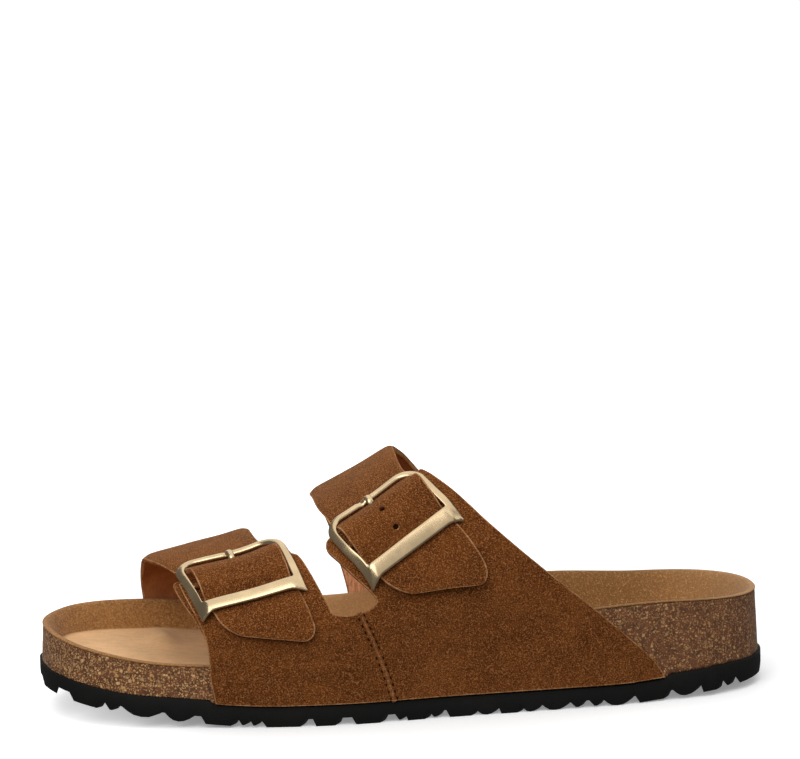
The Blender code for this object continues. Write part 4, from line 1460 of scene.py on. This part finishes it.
def build_buckle(tab, materials):
    """The cast frame with its keeper, end bar and centre bar."""
    buckle = BUCKLES[tab]
    bm, layers = buckle_mesh()
    made = bmesh.ops.create_grid(bm, x_segments=FRAME_STEPS, y_segments=FRAME_SIDES, size=0.5)
    for vertex in made["verts"]:
        turn, angle = vertex.co.x + 0.5, 2 * math.pi * (vertex.co.y + 0.5)
        side, share = (1, 2 * turn) if turn <= 0.5 else (-1, 2 * (1 - turn))
        set_on_buckle(vertex, tab, layers, swayed(tab, frame_section(buckle, side, share, angle)))
    formed_rod(bm, tab, layers, BAR_STEPS, BAR_SIDES, bar_path(tab, WINDOW_HALF + BAR_INTO_FRAME),
               lambda share: (CENTRE_RADIUS, CENTRE_RADIUS))
    close_seams(bm)
    finish_piece("frame_" + tab, bm, materials, ["buckle_" + tab])


def build_prong(tab, materials):
    buckle = BUCKLES[tab]
    bm, layers = buckle_mesh()
    first, last = PRONG[0][0], PRONG[-1][0]

    def path(share):
        length = mix(first, last, share)
        stretch = buckle["end"] / BAR_HALF
        return Vector((buckle["prong"], length * stretch, along(PRONG, 1, length)))

    def section(share):
        end = round_end(share, PRONG_TIP)
        return PRONG_HALF * end, PRONG_TALL * end

    formed_rod(bm, tab, layers, PRONG_STEPS, PRONG_SIDES, path, section)
    close_seams(bm)
    finish_piece("prong_" + tab, bm, materials, ["buckle_pin_" + tab])


# Stage


def build_stage(colours):
    bm = bmesh.new()
    bmesh.ops.create_grid(bm, x_segments=2, y_segments=2, size=FLOOR_HALF)
    mesh = bpy.data.meshes.new("studio_floor")
    bm.to_mesh(mesh)
    bm.free()
    mesh.materials.append(stage_finish(colours))
    floor = bpy.data.objects.new("studio_floor", mesh)
    bpy.context.scene.collection.objects.link(floor)
    floor.visible_diffuse = False
    floor.visible_glossy = False
    world = bpy.data.worlds.new("Studio")
    world.use_nodes = True
    world.node_tree.nodes["Background"].inputs["Color"].default_value = (1.0, 1.0, 1.0, 1.0)
    world.node_tree.nodes["Background"].inputs["Strength"].default_value = WORLD_LIGHT
    bpy.context.scene.world = world
    for name, place, size, power in SOFT_BOXES:
        light = bpy.data.lights.new(name, "AREA")
        light.shape = "SQUARE"
        light.size = size
        light.energy = power
        box = bpy.data.objects.new(name, light)
        box.location = place
        box.rotation_euler = (-Vector(place)).to_track_quat("-Z", "Y").to_euler()
        bpy.context.scene.collection.objects.link(box)
    bpy.context.scene.view_settings.view_transform = "Standard"
    build_camera()


def build_camera():
    camera = bpy.data.cameras.new("Photo camera")
    camera.lens = CAMERA_LENS
    camera.sensor_width = SENSOR
    camera.clip_end = 4 * FLOOR_HALF
    eye = bpy.data.objects.new("Photo camera", camera)
    back = Vector((-math.sin(CAMERA_YAW) * math.cos(CAMERA_ELEVATION),
                   -math.cos(CAMERA_YAW) * math.cos(CAMERA_ELEVATION), math.sin(CAMERA_ELEVATION)))
    place = (Vector((0.0, CENTRE_SHIFT, CAMERA_TARGET)) + back * CAMERA_DISTANCE) * MM
    heading = Matrix.Rotation(-CAMERA_YAW - CAMERA_PAN, 4, "Z")
    pitch = Matrix.Rotation(math.pi / 2 - CAMERA_ELEVATION + CAMERA_TILT, 4, "X")
    eye.matrix_world = Matrix.Translation(place) @ heading @ pitch @ Matrix.Rotation(-CAMERA_ROLL, 4, "Z")
    bpy.context.scene.collection.objects.link(eye)
    bpy.context.scene.camera = eye


# Operators


class PieceOperator:
    """What every operator here shares: the scene's sizes and colours"""
    bl_options = {"REGISTER", "UNDO"}

    def execute(self, context):
        self.build(context.scene.sandal_sizes, context.scene.sandal_colours)
        return {"FINISHED"}


class SANDAL_OT_outsole(PieceOperator, bpy.types.Operator):
    """Build the black foam outsole with its lugs"""
    bl_idname = "sandal.outsole"
    bl_label = "Outsole"

    def build(self, sizes, colours):
        build_outsole([foam_finish(colours)])


class SANDAL_OT_footbed(PieceOperator, bpy.types.Operator):
    """Build the cork footbed and its suede cover"""
    bl_idname = "sandal.footbed"
    bl_label = "Footbed"

    def build(self, sizes, colours):
        build_footbed(sizes, [cork_finish(colours)])
        build_insole(sizes, [insole_finish(colours)] * 3)


class SANDAL_OT_upper(PieceOperator, bpy.types.Operator):
    """Build the suede panels with their tabs, straps, fold and seam"""
    bl_idname = "sandal.upper"
    bl_label = "Upper"

    def build(self, sizes, colours):
        faces = [suede_finish(colours), lining_finish(colours), raw_edge_finish(colours)]
        build_outer_panel(sizes, faces)
        build_inner_panel(sizes, faces)
        build_fold(sizes, faces)
        build_sleeves(faces)
        build_stitches(sizes, [thread_finish(colours)])


class SANDAL_OT_buckles(PieceOperator, bpy.types.Operator):
    """Build the two buckles with their prongs"""
    bl_idname = "sandal.buckles"
    bl_label = "Buckles"

    def build(self, sizes, colours):
        gold = [gold_finish(colours)]
        for tab in BUCKLES:
            build_buckle(tab, gold)
            build_prong(tab, gold)


class SANDAL_OT_stage(PieceOperator, bpy.types.Operator):
    """Build the studio floor, the lights and the camera"""
    bl_idname = "sandal.stage"
    bl_label = "Stage"

    def build(self, sizes, colours):
        build_stage(colours)


class SANDAL_PT_panel(bpy.types.Panel):
    """Lists the sandal's sizes, colours and operators in the sidebar"""
    bl_label = "Footbed slide sandal"
    bl_space_type = "VIEW_3D"
    bl_region_type = "UI"
    bl_category = "Sandal"

    def draw(self, context):
        for group in (context.scene.sandal_sizes, context.scene.sandal_colours):
            for name in group.__annotations__:
                self.layout.prop(group, name)
        for operator in OPERATORS:
            self.layout.operator(operator.bl_idname)


OPERATORS = (SANDAL_OT_outsole, SANDAL_OT_footbed, SANDAL_OT_upper, SANDAL_OT_buckles, SANDAL_OT_stage)
CLASSES = (SandalSizes, SandalColours, *OPERATORS, SANDAL_PT_panel)


def register():
    for made in CLASSES:
        bpy.utils.register_class(made)
    bpy.types.Scene.sandal_sizes = PointerProperty(type=SandalSizes)
    bpy.types.Scene.sandal_colours = PointerProperty(type=SandalColours)


def unregister():
    del bpy.types.Scene.sandal_colours
    del bpy.types.Scene.sandal_sizes
    for made in reversed(CLASSES):
        bpy.utils.unregister_class(made)


def main():
    register()
    bpy.ops.sandal.outsole()
    bpy.ops.sandal.footbed()
    bpy.ops.sandal.upper()
    bpy.ops.sandal.buckles()
    bpy.ops.sandal.stage()
    bpy.context.view_layer.update()


if __name__ == "__main__":
    main()
